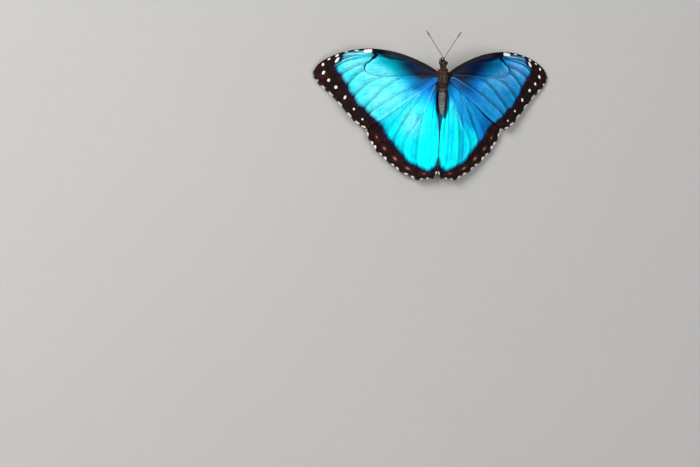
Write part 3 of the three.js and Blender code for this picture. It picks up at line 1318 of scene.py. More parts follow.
@dataclass
class Wing:
    """One wing: its blade, veins and fringe."""

    name: str
    shape: WingShape
    veins: Sequence[Vein]
    pattern: WingPattern
    soot: Tone
    glow: Tone
    frost: Tone
    smoke: Callable[[Array], Array]
    cells: tuple[int, int] = (190, 132)
    thickness: float = 0.16
    reach: float = 0.996           # of the solid's length that the blade takes up
    pleat: float = 0.14            # how far the skin sinks between the veins
    fringe_count: int = 1500
    side: Side = Side.RIGHT
    seed: int = 5
    valleys: Sequence[Streak] = field(default_factory=tuple)
    glints: dict = field(default_factory=dict)     # stretches of vein that catch the light
    folds: dict = field(default_factory=dict)      # painted shade beside the abdomen, the abdomen's cast shadow on the right
    settle: float = 0.0            # rise towards the other wing of the side, where they overlap
    inner_fold: tuple[float, float] = (0.02, 0.94)        # the part of the inner edge it takes up
    inner_hair: Sequence[tuple[float, float, int]] = ()   # parts of the inner edge, and a count

    def _shade(self, plan: Array) -> Array:
        """The painted shade along the abdomen on this side, broad on the right where the abdomen's shadow
        falls.
        """
        return 0.9 * ramp(deepest(self.folds.get(self.side, ()), plan), -0.6, 0.4)

    def _glint(self, plan: Array) -> Array:
        """Where a vein of this side catches the light."""
        return ramp(deepest(self.glints.get(self.side, ()), plan), -0.1, 0.12)

    def build(self) -> None:
        """Builds and dresses the wing on its side."""
        plan, along, across, piece = self._grid()
        to_vein = self._distance_to_veins(plan)
        height = self._height(plan, along, across, to_vein)
        set_places(piece, np.column_stack([plan, height]) * self.side.mirror)
        self._mark(piece, plan, to_vein)
        self._thicken(piece)
        blades = [BlueScales(), BrownScales()]
        finish_piece(piece, blades, [f"{self.name}_{self.side.word}"])
        tree = self._surface_tree(plan, height)
        self._build_veins(tree)
        self._build_fringe()
        if self.inner_hair:
            self._build_inner_fold()
            self._build_inner_hair()

    def _grid(self) -> tuple[Array, Array, Array, Piece]:
        """Adds the blade's grid and lays it in plan."""
        piece, along, across = flat_grid(f"{self.name}_blade_{self.side.word}", *self.cells)
        along = along * self.reach
        return self.shape.plan(along, across), along, across, piece

    def _distance_to_veins(self, plan: Array) -> Array:
        """How far plan places are from the nearest vein."""
        return np.minimum.reduce([nearest_on_line(plan, vein.line())[0] for vein in self.veins])

    def _height(self, plan: Array, along: Array, across: Array, to_vein: Array) -> Array:
        """The blade's height: the solid's surface, sunk between the veins and in the valleys.

        Args:
            plan: Plan places.
            along: Their parts from the root to the outer edge.
            across: Their parts from the leading to the trailing edge.
            to_vein: How far they are from the nearest vein.

        Returns:
            Millimetres above the hinge.
        """
        fade = ramp(along, 1.0, 0.8) * ramp(along, 0.0, 0.12)
        height = self.shape.height(plan, along, across)
        height -= self.pleat * fade * (ramp(to_vein, 0.0, 1.6) - 0.5)
        for valley in self.valleys:
            height -= 0.1 * fade * ramp(valley.depth(plan), -1.0, 0.8)
        seam = SmoothLine([*FOREWING.trailing, FOREWING.vein_ends[-1]])
        overlap = nearest_on_line(plan, seam.at_length(np.linspace(0.0, 1.0, 60)))[0]
        return height + self.settle * fade * ramp(overlap, 4.5, 0.2)

    def _mark(self, piece: Piece, plan: Array, to_vein: Array) -> None:
        """Keeps the markings' fields on a sheet's vertices.

        Args:
            piece: The sheet.
            plan: Its vertices' plan places.
            to_vein: How far they are from the nearest vein.
        """
        pattern = self.pattern
        border = pattern.border_depth(plan, to_vein)
        marks = {
            "vein": to_vein + pattern.faded * ramp(border, -13.0, -4.0),
            "border": border,
            "white": deepest([*pattern.white, *pattern.fringe], plan),
            **{name: deepest(getattr(pattern, name), plan) for name in ("black", "rust", "pale")},
            "soot": np.maximum(self.soot(plan, self.side), self._shade(plan)),
            "glow": self.glow(plan, self.side),
            "frost": self.frost(plan, self.side),
            "smoke": self.smoke(plan),
            "glint": 0.75 * self._glint(plan),
            "ring": pattern.ring_field(plan),
        }
        rim = nearest_on_line(plan, self.shape.margin(np.linspace(0.0, 1.0, 200)))[0]
        lines = np.maximum(0.35 - np.abs(rim - 1.5), 0.45 - np.abs(rim - 3.4))
        marks["cream"] = np.maximum(deepest(pattern.cream, plan), lines)
        set_fields(piece, marks)

    def _thicken(self, piece: Piece) -> None:
        """Gives a sheet its thickness, blue above and brown below.

        Args:
            piece: The sheet.
        """
        take_up(piece)
        if self.side is Side.LEFT:
            bpy.ops.object.mode_set(mode="EDIT")
            bpy.ops.mesh.select_all(action="SELECT")
            bpy.ops.mesh.flip_normals()
            bpy.ops.object.mode_set(mode="OBJECT")
        wall = piece.modifiers.new("Solidify", "SOLIDIFY")
        wall.thickness = self.thickness * MM
        wall.offset = 0.0
        bpy.ops.object.modifier_apply(modifier=wall.name)
        normals = np.empty(len(piece.data.polygons) * 3, np.float32)
        piece.data.polygons.foreach_get("normal", normals)
        under = (normals.reshape(-1, 3)[:, 2] < 0.25).astype(np.int32)
        piece.data.polygons.foreach_set("material_index", under)

    def _surface_tree(self, plan: Array, height: Array) -> BVHTree:
        """The blade's middle surface.

        Args:
            plan: The grid's plan places.
            height: Their heights.

        Returns:
            A tree that finds the height over a plan place.
        """
        columns, rows = self.cells
        number = np.arange((columns + 1) * (rows + 1)).reshape(rows + 1, columns + 1)
        quads = np.stack([number[:-1, :-1], number[:-1, 1:], number[1:, 1:], number[1:, :-1]], -1)
        corners = np.column_stack([plan, height])
        return BVHTree.FromPolygons(corners.tolist(), quads.reshape(-1, 4).tolist())

    @staticmethod
    def _lift(tree: BVHTree, line: Array) -> Array:
        """Sets a plan line on the blade and drops what lies off it.

        Args:
            tree: The blade's surface.
            line: Plan places.

        Returns:
            Places on the surface, one a row.
        """
        found = []
        for x, y in line:
            hit = tree.ray_cast(Vector((x, y, 50.0)), Vector((0.0, 0.0, -1.0)))[0]
            if hit is not None:
                found.append(tuple(hit))
        return np.array(found)

    def _build_veins(self, tree: BVHTree) -> None:
        """Rolls a fine tube along each vein.

        Args:
            tree: The blade's surface.
        """
        parts = []
        for number, vein in enumerate(self.veins):
            path = self._lift(tree, vein.line())
            radii = 0.75 * np.linspace(vein.root, vein.end, len(path))
            parts.append(tube(f"vein_{number}", path, radii, 8, self.side)[0])
        piece = join_pieces(f"{self.name}_veins_{self.side.word}", parts)
        plan = get_places(piece)[:, :2] * self.side.mirror[:2]
        border = self.pattern.border_depth(plan, np.full(len(plan), FAR))
        # the veins darken in the border and with the blade's dark roots and painted shade
        dark = np.maximum(ramp(border, -3.0, -0.3), self.soot(plan, self.side))
        dark = np.maximum(dark, ramp(deepest(self.pattern.black, plan), -0.3, 0.1))
        set_field(piece, "dark", dark)
        set_field(piece, "glint", self._glint(plan))
        finish_piece(piece, [VeinHorn()])

    def _build_fringe(self) -> None:
        """Plants the fringe's long scales along the outer edge."""
        rng = np.random.default_rng(self.seed)
        across = np.sort(rng.random(self.fringe_count))
        along = self.reach - rng.random(self.fringe_count) * 0.012
        plan = self.shape.plan(along, across)
        height = self.shape.height(plan, along, across)
        outer = self.shape.plan(np.full_like(along, self.reach + 0.008), across)
        way = unit(np.column_stack([outer - plan, np.zeros(len(plan))]))
        way[:, 2] = -math.sin(math.radians(self.shape.droop)) * way[:, 0]
        up = np.where(rng.random(len(plan)) < 0.5, 1.0, -1.0)
        normals = np.column_stack([np.zeros(len(plan)), np.zeros(len(plan)), up])
        places = np.column_stack([plan, height + up * 0.03]) * self.side.mirror
        roots = Roots(places, normals, way * self.side.mirror, np.column_stack([across, along]))
        tuft = Tuft(length=(0.5, 0.75), width=0.13, lift=0.05, stray=0.12, thickness=0.3, bury=0.0)
        piece = tuft.plant(f"{self.name}_fringe_{self.side.word}", roots, rng)
        grown = [Spot(m.centre, (m.radii[0] + 0.25, m.radii[1] + 0.45), m.heading)
                 for m in self.pattern.fringe]
        tip = self.shape.plan(np.full_like(along, 0.995), across)
        white = ramp(deepest(grown, tip), -0.1, 0.1)
        each = len(piece.data.vertices) // len(plan)
        set_field(piece, "white", np.repeat(white, each))
        finish_piece(piece, [FringeScales()])

    def _build_inner_fold(self) -> None:
        """Builds the soft fold of the inner edge, which turns in under the abdomen and is darkened there by
        painted shade.
        """
        piece, reach, part = flat_grid(f"{self.name}_inner_fold_{self.side.word}", 110, 18)
        along = self.inner_fold[0] + (self.inner_fold[1] - self.inner_fold[0]) * reach
        edge = self.shape.plan(along, np.ones(len(along)))
        height = self.shape.height(edge, along, np.ones(len(along)))
        width = np.maximum(edge[:, 0] - 0.12, 0.0) * ramp(reach, 1.02, 0.95)
        turn = 0.5 * math.pi * part
        plan = np.column_stack([edge[:, 0] - width * (1.0 - np.cos(turn)), edge[:, 1]])
        crease = 0.05 * np.sin(reach * 60.0 + part * 2.0) * part * ramp(reach, 0.5, 0.2)
        height = height - (0.36 * width + crease) * np.sin(turn)
        set_places(piece, np.column_stack([plan, height]) * self.side.mirror)
        self._mark(piece, plan, np.full(len(plan), FAR))
        # painted shade: the fold darkens as it turns in under the abdomen
        start = 0.25 if self.side is Side.LEFT else 0.0
        inner = np.maximum(self.soot(plan, self.side), 0.9 * ramp(part, start, start + 0.3))
        piece.data.attributes["soot"].data.foreach_set("value", inner.astype(np.float32))
        self._thicken(piece)
        finish_piece(piece, [BlueScales(), BrownScales()])

    def _build_inner_hair(self) -> None:
        """Plants the soft dark hair along the inner edge."""
        rng = np.random.default_rng(self.seed + 20)
        along = np.concatenate([rng.uniform(start, end, count) for start, end, count in self.inner_hair])
        across = 1.0 - 0.012 * rng.random(len(along))
        plan = self.shape.plan(along, across)
        height = self.shape.height(plan, along, across)
        up = np.tile([0.0, 0.0, 1.0], (len(plan), 1))
        way = np.tile([-0.45, -0.88, -0.12], (len(plan), 1)) * self.side.mirror
        roots = Roots(np.column_stack([plan, height]) * self.side.mirror, up, way,
                      np.column_stack([across, along]))
        piece = Tuft((0.5, 1.0), 0.08, 0.1, 0.3, bury=0.0).plant(
            f"{self.name}_inner_hair_{self.side.word}", roots, rng)
        set_field(piece, "white", np.zeros(len(piece.data.vertices)))
        finish_piece(piece, [FringeScales()])


def hinge_distance(plan: Array) -> Array:
    """How far plan places are from the middle of the wing's root."""
    return np.hypot(plan[:, 0] - 2.0, plan[:, 1] + 0.5)


def front_distance(plan: Array) -> Array:
    """How far plan places are from the forewing's leading edge."""
    front = SmoothLine(FOREWING.leading).at_length(np.linspace(0, 1, 60))
    return nearest_on_line(plan, front)[0]


def right_clearness(plan: Array) -> Array:
    """How much of the right forewing's blue is spared its painted shade: most behind the tip, least at the
    rear.
    """
    outer = oval(plan, (45.0, 4.5), (5.0, 4.0))
    return 0.74 + 0.2 * outer - 0.12 * ramp(plan[:, 1], -3.0, -8.0)


def forewing_soot(plan: Array, side: Side) -> Array:
    """How dark the forewing's blue is: dark at the root and along the front of the cell.

    Args:
        plan: Rows of plan points.
        side: The wing's side. The right one is darkened all over by painted shade as well.

    Returns:
        Numbers from 0 to 1.
    """
    away = hinge_distance(plan)
    bearing = np.degrees(np.arctan2(plan[:, 1] + 0.5, np.maximum(plan[:, 0] - 2.0, 0.01)))
    reach = np.interp(bearing, [-60, -40, -25, -8, 0, 9, 18], [10.0, 14.0, 21.0, 23.0, 28.5, 38.0, 48.0])
    most = np.interp(bearing, [-45, -18, -4], [0.4, 0.55, 1.0])
    soot = np.minimum(ramp(away / reach, 1.0, 0.28), most)
    band = np.interp(plan[:, 0], [0, 6, 14, 22, 27, 30, 34, 36.5, 42],
                     [2.0, 3.4, 6.4, 7.0, 7.2, 5.4, 3.4, 1.0, 0.3])
    soot = np.maximum(soot, 0.95 * ramp(front_distance(plan), band, band * 0.45))
    # painted shade: the right forewing is darkened all over, least behind the tip
    return 1.0 - right_clearness(plan) * (1.0 - soot) ** 1.4 if side is Side.RIGHT else soot


def forewing_glow(plan: Array, side: Side) -> Array:
    """The forewing's painted reflection: how far its blue leans to cyan, far more on the left, which faces
    the light.

    Args:
        plan: Rows of plan points.
        side: The wing's side.

    Returns:
        Numbers from 0 to 1.
    """
    away = hinge_distance(plan)
    if side is Side.LEFT:
        return ramp(away, 7.0, 25.0)
    # painted reflection on the right forewing: faint outward, and on a ridge behind the cell
    ridge = oval(plan, (29.0, -5.0), (6.0, 4.0))
    return 0.24 * ramp(away, 16.0, 28.0) + 0.15 * ridge


def forewing_frost(plan: Array, side: Side) -> Array:
    """How strong the forewing's painted sheen, a pale highlight, is, the same on both sides.

    Args:
        plan: Rows of plan points.
        side: The wing's side, not used.

    Returns:
        Numbers from 0 to 1.
    """
    bloom = oval(plan, (31.0, -1.0), (9.0, 8.0))
    outer = oval(plan, (43.5, 5.5), (4.5, 4.0))
    rear = oval(plan, (27.0, -13.0), (8.0, 7.0))
    return np.clip(0.42 + 0.85 * bloom + 0.85 * outer + 0.5 * rear, 0.0, 1.0)


def forewing_smoke(plan: Array) -> Array:
    """Where the forewing's dark is grey instead of blue-black: at the root and along the front.

    Args:
        plan: Rows of plan points.

    Returns:
        Numbers from 0 to 1.
    """
    root = ramp(hinge_distance(plan), 17.0, 7.0)
    strip = ramp(front_distance(plan), 3.6, 1.8) * ramp(plan[:, 0], 31.0, 26.0)
    return np.maximum(root, strip)


def right_shine(plan: Array) -> Array:
    """The right hindwing's painted highlight: beside the body, behind it, in one cell more, dimmed in the
    valleys.

    Args:
        plan: Rows of plan points.

    Returns:
        Numbers from 0 to 1.
    """
    x, behind = plan[:, 0], -plan[:, 1]
    limit = np.interp(behind, [8.0, 16.0, 22.0, 30.0, 40.0], [3.0, 8.0, 13.0, 22.5, 29.0])
    inner = ramp(x - limit, 5.0, -4.0) * ramp(behind, 7.0, 14.0)
    # painted shade: the highlight dims in the valleys
    valley = ramp(deepest(HINDWING_VALLEYS, plan), -0.9, 0.5)
    finger = 0.6 * oval(plan, (20.0, -29.0), (1.6, 4.0))
    return np.clip(inner - 0.45 * valley * inner + finger, 0.0, 1.0)


def hindwing_soot(plan: Array, side: Side) -> Array:
    """How dark the hindwing's blue is: at its root, and on the right with painted shade at the outer corner
    and away from the highlight.

    Args:
        plan: Rows of plan points.
        side: The wing's side.

    Returns:
        Numbers from 0 to 1.
    """
    root = 0.8 * ramp(hinge_distance(plan), 15.0, 4.0)
    if side is Side.LEFT:
        return np.maximum(root, 0.15 * ramp(plan[:, 0], 22.0, 33.0))
    # painted shade on the right hindwing: its outer corner, and where its highlight is weak
    outer = ramp(plan[:, 0], 17.0, 27.0) * ramp(plan[:, 1], -30.0, -25.0)
    dull = 0.3 * ramp(right_shine(plan), 0.75, 0.2)
    return np.maximum(np.maximum(root, dull), 0.5 * outer)


def hindwing_glow(plan: Array, side: Side) -> Array:
    """The hindwing's painted reflection: how far its blue leans to cyan.

    Args:
        plan: Rows of plan points.
        side: The wing's side. The left one faces the light and is cyan all over, and the right
            one beside the body and behind it.

    Returns:
        Numbers from 0 to 1.
    """
    if side is Side.LEFT:
        away = ramp(hinge_distance(plan), 6.0, 21.0)
        return away * (1.0 - 0.4 * ramp(plan[:, 0], 25.0, 31.0))
    return np.maximum(right_shine(plan), 0.25 * ramp(plan[:, 0], 26.0, 20.0))


def hindwing_frost(plan: Array, side: Side) -> Array:
    """How strong the hindwing's painted sheen, a pale highlight, is: mostly on the left.

    Args:
        plan: Rows of plan points.
        side: The wing's side.

    Returns:
        Numbers from 0 to 1.
    """
    if side is Side.RIGHT:
        return 0.08 * ramp(plan[:, 1], -26.0, -18.0)
    bloom = oval(plan, (14.0, -23.0), (4.5, 5.0))
    front = 0.22 * ramp(plan[:, 1], -24.0, -18.0) * ramp(plan[:, 0], 7.0, 12.0)
    return np.clip(front + bloom, 0.0, 1.0)


def hindwing_smoke(plan: Array) -> Array:
    """Where the hindwing's dark root is grey instead of blue-black."""
    return 0.3 * ramp(hinge_distance(plan), 9.0, 4.0)


FOREWING = WingShape(
    leading=[[2.2, 0.9], [6.5, 3.7], [14.5, 7.6], [25.0, 10.9], [38.0, 12.1], [50.4, 9.9],
             [58.6, 6.0], [61.3, 3.6]],
    vein_ends=[[63.0, 0.6], [62.5, -1.9], [60.2, -5.1], [56.6, -8.1], [52.3, -12.0],
               [47.8, -17.1], [43.4, -21.9], [39.9, -24.5], [37.1, -25.8]],
    trailing=[[2.2, -2.2], [4.5, -4.0], [19.8, -14.4], [29.7, -21.4]],
    scallop=0.22, pitch=2.4, step=0.0, camber=0.7)

HINDWING = WingShape(
    leading=[[2.2, -1.7], [9.0, -2.4], [18.0, -4.9], [27.0, -9.4], [33.0, -14.2]],
    vein_ends=[[36.2, -18.6], [37.2, -24.5], [34.7, -30.8], [30.5, -36.7], [24.9, -41.6],
               [18.4, -46.5], [10.4, -50.3], [2.0, -49.5], [0.2, -46.4]],
    trailing=[[2.2, -6.8], [2.85, -11.0], [2.2, -17.0], [1.05, -22.0], [0.35, -29.0],
              [0.2, -38.0]],
    scallop=0.3, pitch=6.0, step=0.9, camber=0.5, fold=(0.8, 11.0))

FOREWING_VEINS = (
    Vein([[2.4, 0.9], [6.5, 3.6], [14.5, 7.4], [25.0, 10.7], [38.0, 11.9], [50.4, 9.8],
          [58.5, 6.0]], 0.28, 0.15),
    Vein([[3.0, 0.9], [14.0, 6.4], [26.0, 9.7], [36.0, 11.3], [40.0, 11.8]], 0.2, 0.12),
    Vein([[3.0, 0.5], [13.0, 4.9], [24.0, 7.6], [34.0, 8.7]], 0.2, 0.14),
    Vein([[28.0, 8.3], [38.0, 10.3], [46.0, 10.7]], 0.13, 0.08),
    Vein([[32.0, 8.6], [42.0, 10.0], [51.0, 9.5]], 0.13, 0.08),
    Vein([[34.0, 8.7], [44.4, 8.7], [52.0, 7.6], [57.5, 6.2]], 0.13, 0.08),
    Vein([[44.0, 8.6], [52.0, 6.0], [58.0, 2.6], [62.6, -1.3]], 0.12, 0.08),
    Vein([[35.8, 8.4], [41.0, 7.8], [46.9, 6.3], [51.6, 3.5], [60.0, -5.0]], 0.13, 0.08),
    Vein([[38.3, 4.3], [40.9, 4.2], [45.5, 2.3], [50.2, -0.7], [56.4, -7.9]], 0.13, 0.08),
    Vein([[38.9, 1.7], [41.3, 0.5], [45.9, -4.0], [52.1, -11.8]], 0.13, 0.08),
    Vein([[30.0, -0.9], [34.0, -2.5], [39.0, -6.0], [44.0, -11.0], [47.6, -16.9]], 0.14, 0.08),
    Vein([[20.1, -0.8], [27.2, -5.0], [33.0, -10.4], [37.5, -15.0], [43.2, -21.7]], 0.14, 0.08),
    Vein([[3.5, -0.6], [6.5, -1.2], [12.7, -4.4], [24.7, -10.8], [36.5, -19.0], [40.2, -23.9]],
         0.2, 0.1),
    Vein([[3.5, 0.3], [12.0, 0.3], [21.8, -0.5], [30.0, -0.8], [34.6, -0.3], [38.8, 1.6]],
         0.2, 0.13),
    Vein([[34.8, 8.6], [36.2, 5.9], [38.3, 4.3], [38.9, 1.7]], 0.1, 0.1),
)

HINDWING_VEINS = (
    Vein([[3.0, -2.6], [10.0, -4.5], [22.0, -9.5], [31.0, -15.0], [36.0, -18.5]]),
    Vein([[9.0, -5.2], [20.0, -11.0], [29.0, -17.8], [37.0, -24.4]]),
    Vein([[12.0, -8.0], [21.0, -15.5], [29.0, -24.0], [34.5, -30.6]]),
    Vein([[12.0, -8.5], [18.5, -16.0], [25.0, -26.5], [30.3, -36.5]]),
    Vein([[9.0, -7.0], [14.0, -15.0], [17.2, -21.0], [20.6, -27.0], [23.0, -34.0],
          [24.8, -41.4]]),
    Vein([[3.4, -4.0], [6.3, -11.0], [8.9, -17.7], [12.0, -22.6], [17.0, -31.0], [17.5, -39.0],
          [18.3, -46.3]], 0.2, 0.08),
    Vein([[8.9, -17.7], [10.6, -28.0], [10.8, -39.0], [10.4, -50.0]]),
    Vein([[3.0, -5.5], [4.0, -14.0], [4.6, -27.0], [4.0, -39.0], [2.4, -49.2]], 0.17, 0.07),
    Vein([[2.6, -6.5], [2.9, -12.0], [2.2, -20.0], [1.3, -28.0]], 0.13, 0.06),
)

FOREWING_PATTERN = WingPattern(
    border_edge=[[49.0, 10.8], [49.6, 8.0], [52.8, 3.9], [51.9, 1.7], [49.9, -0.8], [48.2, -3.5],
                 [46.4, -6.0], [45.8, -8.2], [43.8, -10.4], [41.5, -14.3], [38.8, -15.8],
                 [36.0, -19.0], [32.9, -21.2], [31.0, -23.4]],
    border_beyond=[[31.0, -45.0], [90.0, -45.0], [90.0, 30.0], [49.0, 30.0]],
    tooth=0.75,
    white=(
        Spot((58.4, 4.3), (0.56, 0.76), 20), Spot((58.1, 0.5), (0.65, 1.0), 25),
        Spot((55.6, -3.0), (0.64, 0.8), 30), Spot((52.1, -6.3), (0.72, 0.78), 0),
        Spot((47.7, -11.0), (0.55, 0.94), 20), Spot((43.3, -16.5), (0.5, 0.56), 0),
        Spot((39.1, -21.3), (0.46, 0.52), 0), Spot((51.8, 6.5), (0.55, 1.6), 37),
        Streak([[36.0, 11.1], [38.6, 10.85]], 0.85, 0.75),
        Spot((47.5, 10.5), (0.9, 0.32), -10), Spot((51.8, 8.6), (1.0, 0.42), -28),
        Spot((55.6, 6.85), (0.8, 0.34), -32), Spot((42.6, 11.15), (1.2, 0.24), -4),
    ),
    fringe=(
        Spot((61.6, -3.5), (0.50, 0.90), -38), Spot((58.3, -6.5), (0.50, 0.90), -45),
        Spot((54.5, -9.8), (0.50, 1.05), -42), Spot((50.0, -14.3), (0.50, 1.10), -42),
        Spot((45.5, -19.3), (0.50, 1.05), -42), Spot((41.6, -23.1), (0.50, 0.70), -50),
        Spot((38.5, -25.0), (0.50, 0.60), -60),
    ),
    black=(
        Streak([[34.9, 8.2], [35.5, 6.8], [36.8, 5.8], [38.2, 5.1], [38.9, 3.5], [38.6, 1.7]],
               0.42, 0.26),
        Streak([[34.0, 10.6], [33.4, 9.2], [34.0, 8.2], [34.9, 7.4]], 1.3, 0.5),
        Streak([[2.0, 1.0], [6.5, 3.7], [14.5, 7.6], [20.0, 9.5]], 0.9, 1.9),
        Streak([[20.0, 9.5], [25.0, 10.9], [34.4, 11.9]], 1.9, 2.1),
        Streak([[35.0, 12.0], [50.0, 10.2], [58.5, 6.3], [61.3, 3.8]], 0.42, 0.7),
        Streak([[39.9, 11.4], [41.0, 11.2]], 0.5, 0.4),
        Spot((50.0, 6.5), (0.55, 1.5), 37),
        Spot((49.9, 9.0), (1.4, 0.4), -20),
    ),
    pale=(Streak([[38.4, 9.85], [41.8, 9.75], [46.1, 9.2], [49.5, 8.2]], 0.3, 0.14),),
    rings=(((44.5, 3.5), 2.6), ((46.0, -3.0), 3.2), ((42.5, -10.0), 3.0), ((38.0, -15.0), 2.4)),
    cream=(
        Streak([[34.5, 9.5], [36.0, 4.0], [37.5, 0.5]], 0.8, 0.6),
        Streak([[24.0, 9.5], [25.0, 4.0], [26.5, -1.0]], 0.7, 0.5),
        Streak([[51.0, 9.0], [53.0, 3.0], [51.5, -3.0], [47.0, -11.0], [41.0, -18.0]], 0.6, 0.5),
    ),
)

HINDWING_PATTERN = WingPattern(
    border_edge=[[30.5, -12.0], [31.0, -19.0], [30.2, -23.3], [28.2, -24.9], [27.0, -28.0],
                 [24.8, -30.7], [21.0, -34.8], [18.4, -37.8], [15.5, -41.2], [10.7, -43.6],
                 [7.2, -45.1], [4.7, -46.0], [2.7, -45.0], [1.0, -42.9], [0.0, -40.3]],
    border_beyond=[[-5.0, -40.3], [-5.0, -70.0], [70.0, -70.0], [70.0, 0.0], [30.5, 0.0]],
    tooth=0.6,
    faded=0.2,
    fringe=(
        Spot((36.4, -26.0), (0.72, 0.85), 20), Spot((35.5, -28.4), (0.72, 0.85), 20),
        Spot((33.2, -32.7), (0.76, 0.95), 35), Spot((31.6, -34.5), (0.76, 0.90), 35),
        Spot((28.8, -38.2), (0.76, 1.00), 49), Spot((26.5, -39.9), (0.76, 0.90), 49),
        Spot((22.9, -43.3), (0.78, 1.05), 53), Spot((20.3, -44.9), (0.76, 0.90), 53),
        Spot((16.0, -47.6), (0.76, 0.9), 65), Spot((12.7, -49.0), (0.74, 0.7), 65),
        Spot((8.0, -50.0), (0.7, 0.42), 92), Spot((4.8, -49.8), (0.7, 0.42), 92),
        Spot((0.45, -46.6), (0.6, 0.5), 25),
    ),
    rust=(
        Spot((30.9, -29.7), (0.8, 0.5), 58), Spot((26.9, -35.1), (1.0, 0.62), 50),
        Spot((21.6, -39.9), (1.25, 0.68), 42), Spot((15.1, -44.6), (1.3, 0.55), 26),
        Spot((7.0, -47.1), (1.0, 0.42), 5),
    ),
    rings=(((29.5, -17.5), 4.2), ((25.5, -27.5), 2.2), ((21.5, -32.0), 3.2),
           ((15.5, -36.5), 3.4), ((8.5, -40.0), 2.5)),
    cream=(
        Streak([[24.0, -9.0], [20.0, -18.0], [14.0, -27.0], [5.0, -33.0]], 0.7, 0.5),
        Streak([[12.0, -5.5], [10.0, -12.0], [6.0, -17.0]], 0.6, 0.4),
    ),
)

FOREWING_GLINTS = {
    Side.RIGHT: (
        Streak([[5.0, 0.3], [12.0, 0.3], [21.8, -0.5], [30.0, -0.8]], 0.1, 0.06),
        Streak([[4.0, -0.8], [6.5, -1.2], [12.7, -4.4], [24.7, -10.8]], 0.22, 0.06),
    ),
}

HINDWING_GLINTS = {
    Side.LEFT: (Streak([[3.6, -4.5], [6.3, -11.0], [8.9, -17.7]], 0.24, 0.12),),
    Side.RIGHT: (
        Streak([[6.3, -11.0], [8.9, -17.7], [12.0, -22.6]], 0.1, 0.1),
        Streak([[11.0, -9.5], [14.0, -15.0]], 0.12, 0.1),
    ),
}

# painted shade beside the abdomen: a thin strip on the left, and the abdomen's cast shadow on the right
HINDWING_ABDOMEN_SHADOWS = {
    Side.LEFT: (Streak([[1.5, -6.0], [1.65, -12.0], [1.3, -18.0], [0.4, -26.0]], 0.3, 0.1),),
    Side.RIGHT: (Streak([[2.8, -6.8], [3.4, -11.0], [3.3, -16.0], [2.2, -19.8]], 0.95, 0.8),),
}

HINDWING_VALLEYS = (
    Streak([[12.5, -19.0], [13.6, -27.0], [14.2, -34.0], [14.0, -41.0]], 0.8, 0.5),
    Streak([[18.0, -19.5], [21.0, -26.0], [23.8, -31.0]], 0.7, 0.4),
    Streak([[7.0, -15.0], [7.6, -27.0], [7.4, -40.0]], 0.6, 0.3),
)


# ------------------------------------------------------------------ body


@dataclass(frozen=True)
class Lump:
    """A rounded swelling or hollow of the skin, the same on both sides."""

    centre: tuple[float, float, float]
    size: tuple[float, float, float]
    height: float

    def rise(self, places: Array) -> Array:
        """How far it moves each place outward.

        Args:
            places: Millimetres about the hinge, one row a vertex.

        Returns:
            Millimetres.
        """
        mirrored = np.column_stack([np.abs(places[:, 0]), places[:, 1:]])
        away = (mirrored - np.array(self.centre)) / np.array(self.size)
        return self.height * np.exp(-(away ** 2).sum(1))


def body_marks(places: Array) -> dict[str, Array]:
    """The markings that skin and coat share, with painted shade on the right side and painted light on the
    left.

    Args:
        places: Millimetres about the hinge, one row a vertex.

    Returns:
        How grey, dark, pale and warm each place is, from 0 to 1.
    """
    rightward, y, z = places.T
    across = np.abs(rightward)
    thorax = ramp(y, -6.2, -5.4) * ramp(y, 3.2, 2.4)
    grey = ramp(y, -7.6, -8.9)
    warm = 0.35 * ramp(y, -0.5, 1.5) * ramp(y, 4.2, 3.2)
    grooves = 0.5 + 0.5 * np.cos(2 * math.pi * (y + 6.4) / Body.SEGMENT)
    # painted shade: the abdomen's right flank, away from the light
    shaded_flank = ramp(rightward, -0.25, 0.25) * ramp(z, -3.2, -2.0)
    dark = np.maximum.reduce([
        0.92 * ramp(y, 5.0, 5.7),                                          # the head
        0.85 * ramp(across, 0.6, 1.1) * ramp(y, 2.9, 3.6),                 # beside the collar
        0.3 * ramp(y, 1.0, 2.4),
        0.6 * thorax * hump(across, 1.75, 0.25) * hump(y, -1.8, 1.5),      # lines along the back
        0.4 * thorax * hump(across, 0.0, 0.3) * hump(y, -2.2, 1.6),
        0.4 * thorax * ramp(y, -2.8, -3.8),
        # painted shade: the thorax's right side
        0.75 * thorax * ramp(rightward, 0.0, 1.3),
        0.72 * hump(y, -5.9, 0.5),                                         # the waist
        0.3 * hump(y, -6.9, 0.5),
        0.7 * hump(y, -7.8, 0.4),
        0.22 * grey * grooves ** 8,
        0.9 * shaded_flank * ramp(y, -6.2, -7.6),
    ])
    stripes = (Streak([[2.1, -0.6], [2.35, -1.6], [2.6, -2.6]], 0.12, 0.25),
               Streak([[0.72, -0.2], [0.95, -1.6], [1.3, -3.1]], 0.3, 0.12))
    broken = 0.55 + 0.45 * np.sin(rightward * 7.0 + y * 4.3) * np.sin(y * 9.1)
    striped = ramp(deepest(stripes, np.column_stack([across, y])), -0.3, 0.1) * ramp(z, -2.6, -0.9)
    # painted light: the left side, which faces the light, is paler
    lit = ramp(rightward, 0.5, -0.9)
    pale = np.maximum.reduce([
        # the pale stripes, faded out on the right by painted shade
        0.44 * broken * striped * np.where(across < 1.7, 1.0, 0.6) * ramp(rightward, 1.0, -0.4),
        0.75 * hump(y + across, 6.5, 0.12) * ramp(across, 1.4, 1.1) * ramp(z, -1.3, -0.7),     # brow
        0.35 * grey * lit * ramp(y, -12.0, -17.0),
        # painted light: the tail's tip is pale only on the lit left side
        0.5 * lit * ramp(y, -17.0, -18.6),                                 # the tail's tip
        0.35 * ramp(z, -2.6, -3.6),                                        # the underside
    ])
    return {"grey": grey, "dark": dark * (1 - pale), "pale": pale, "warm": warm}


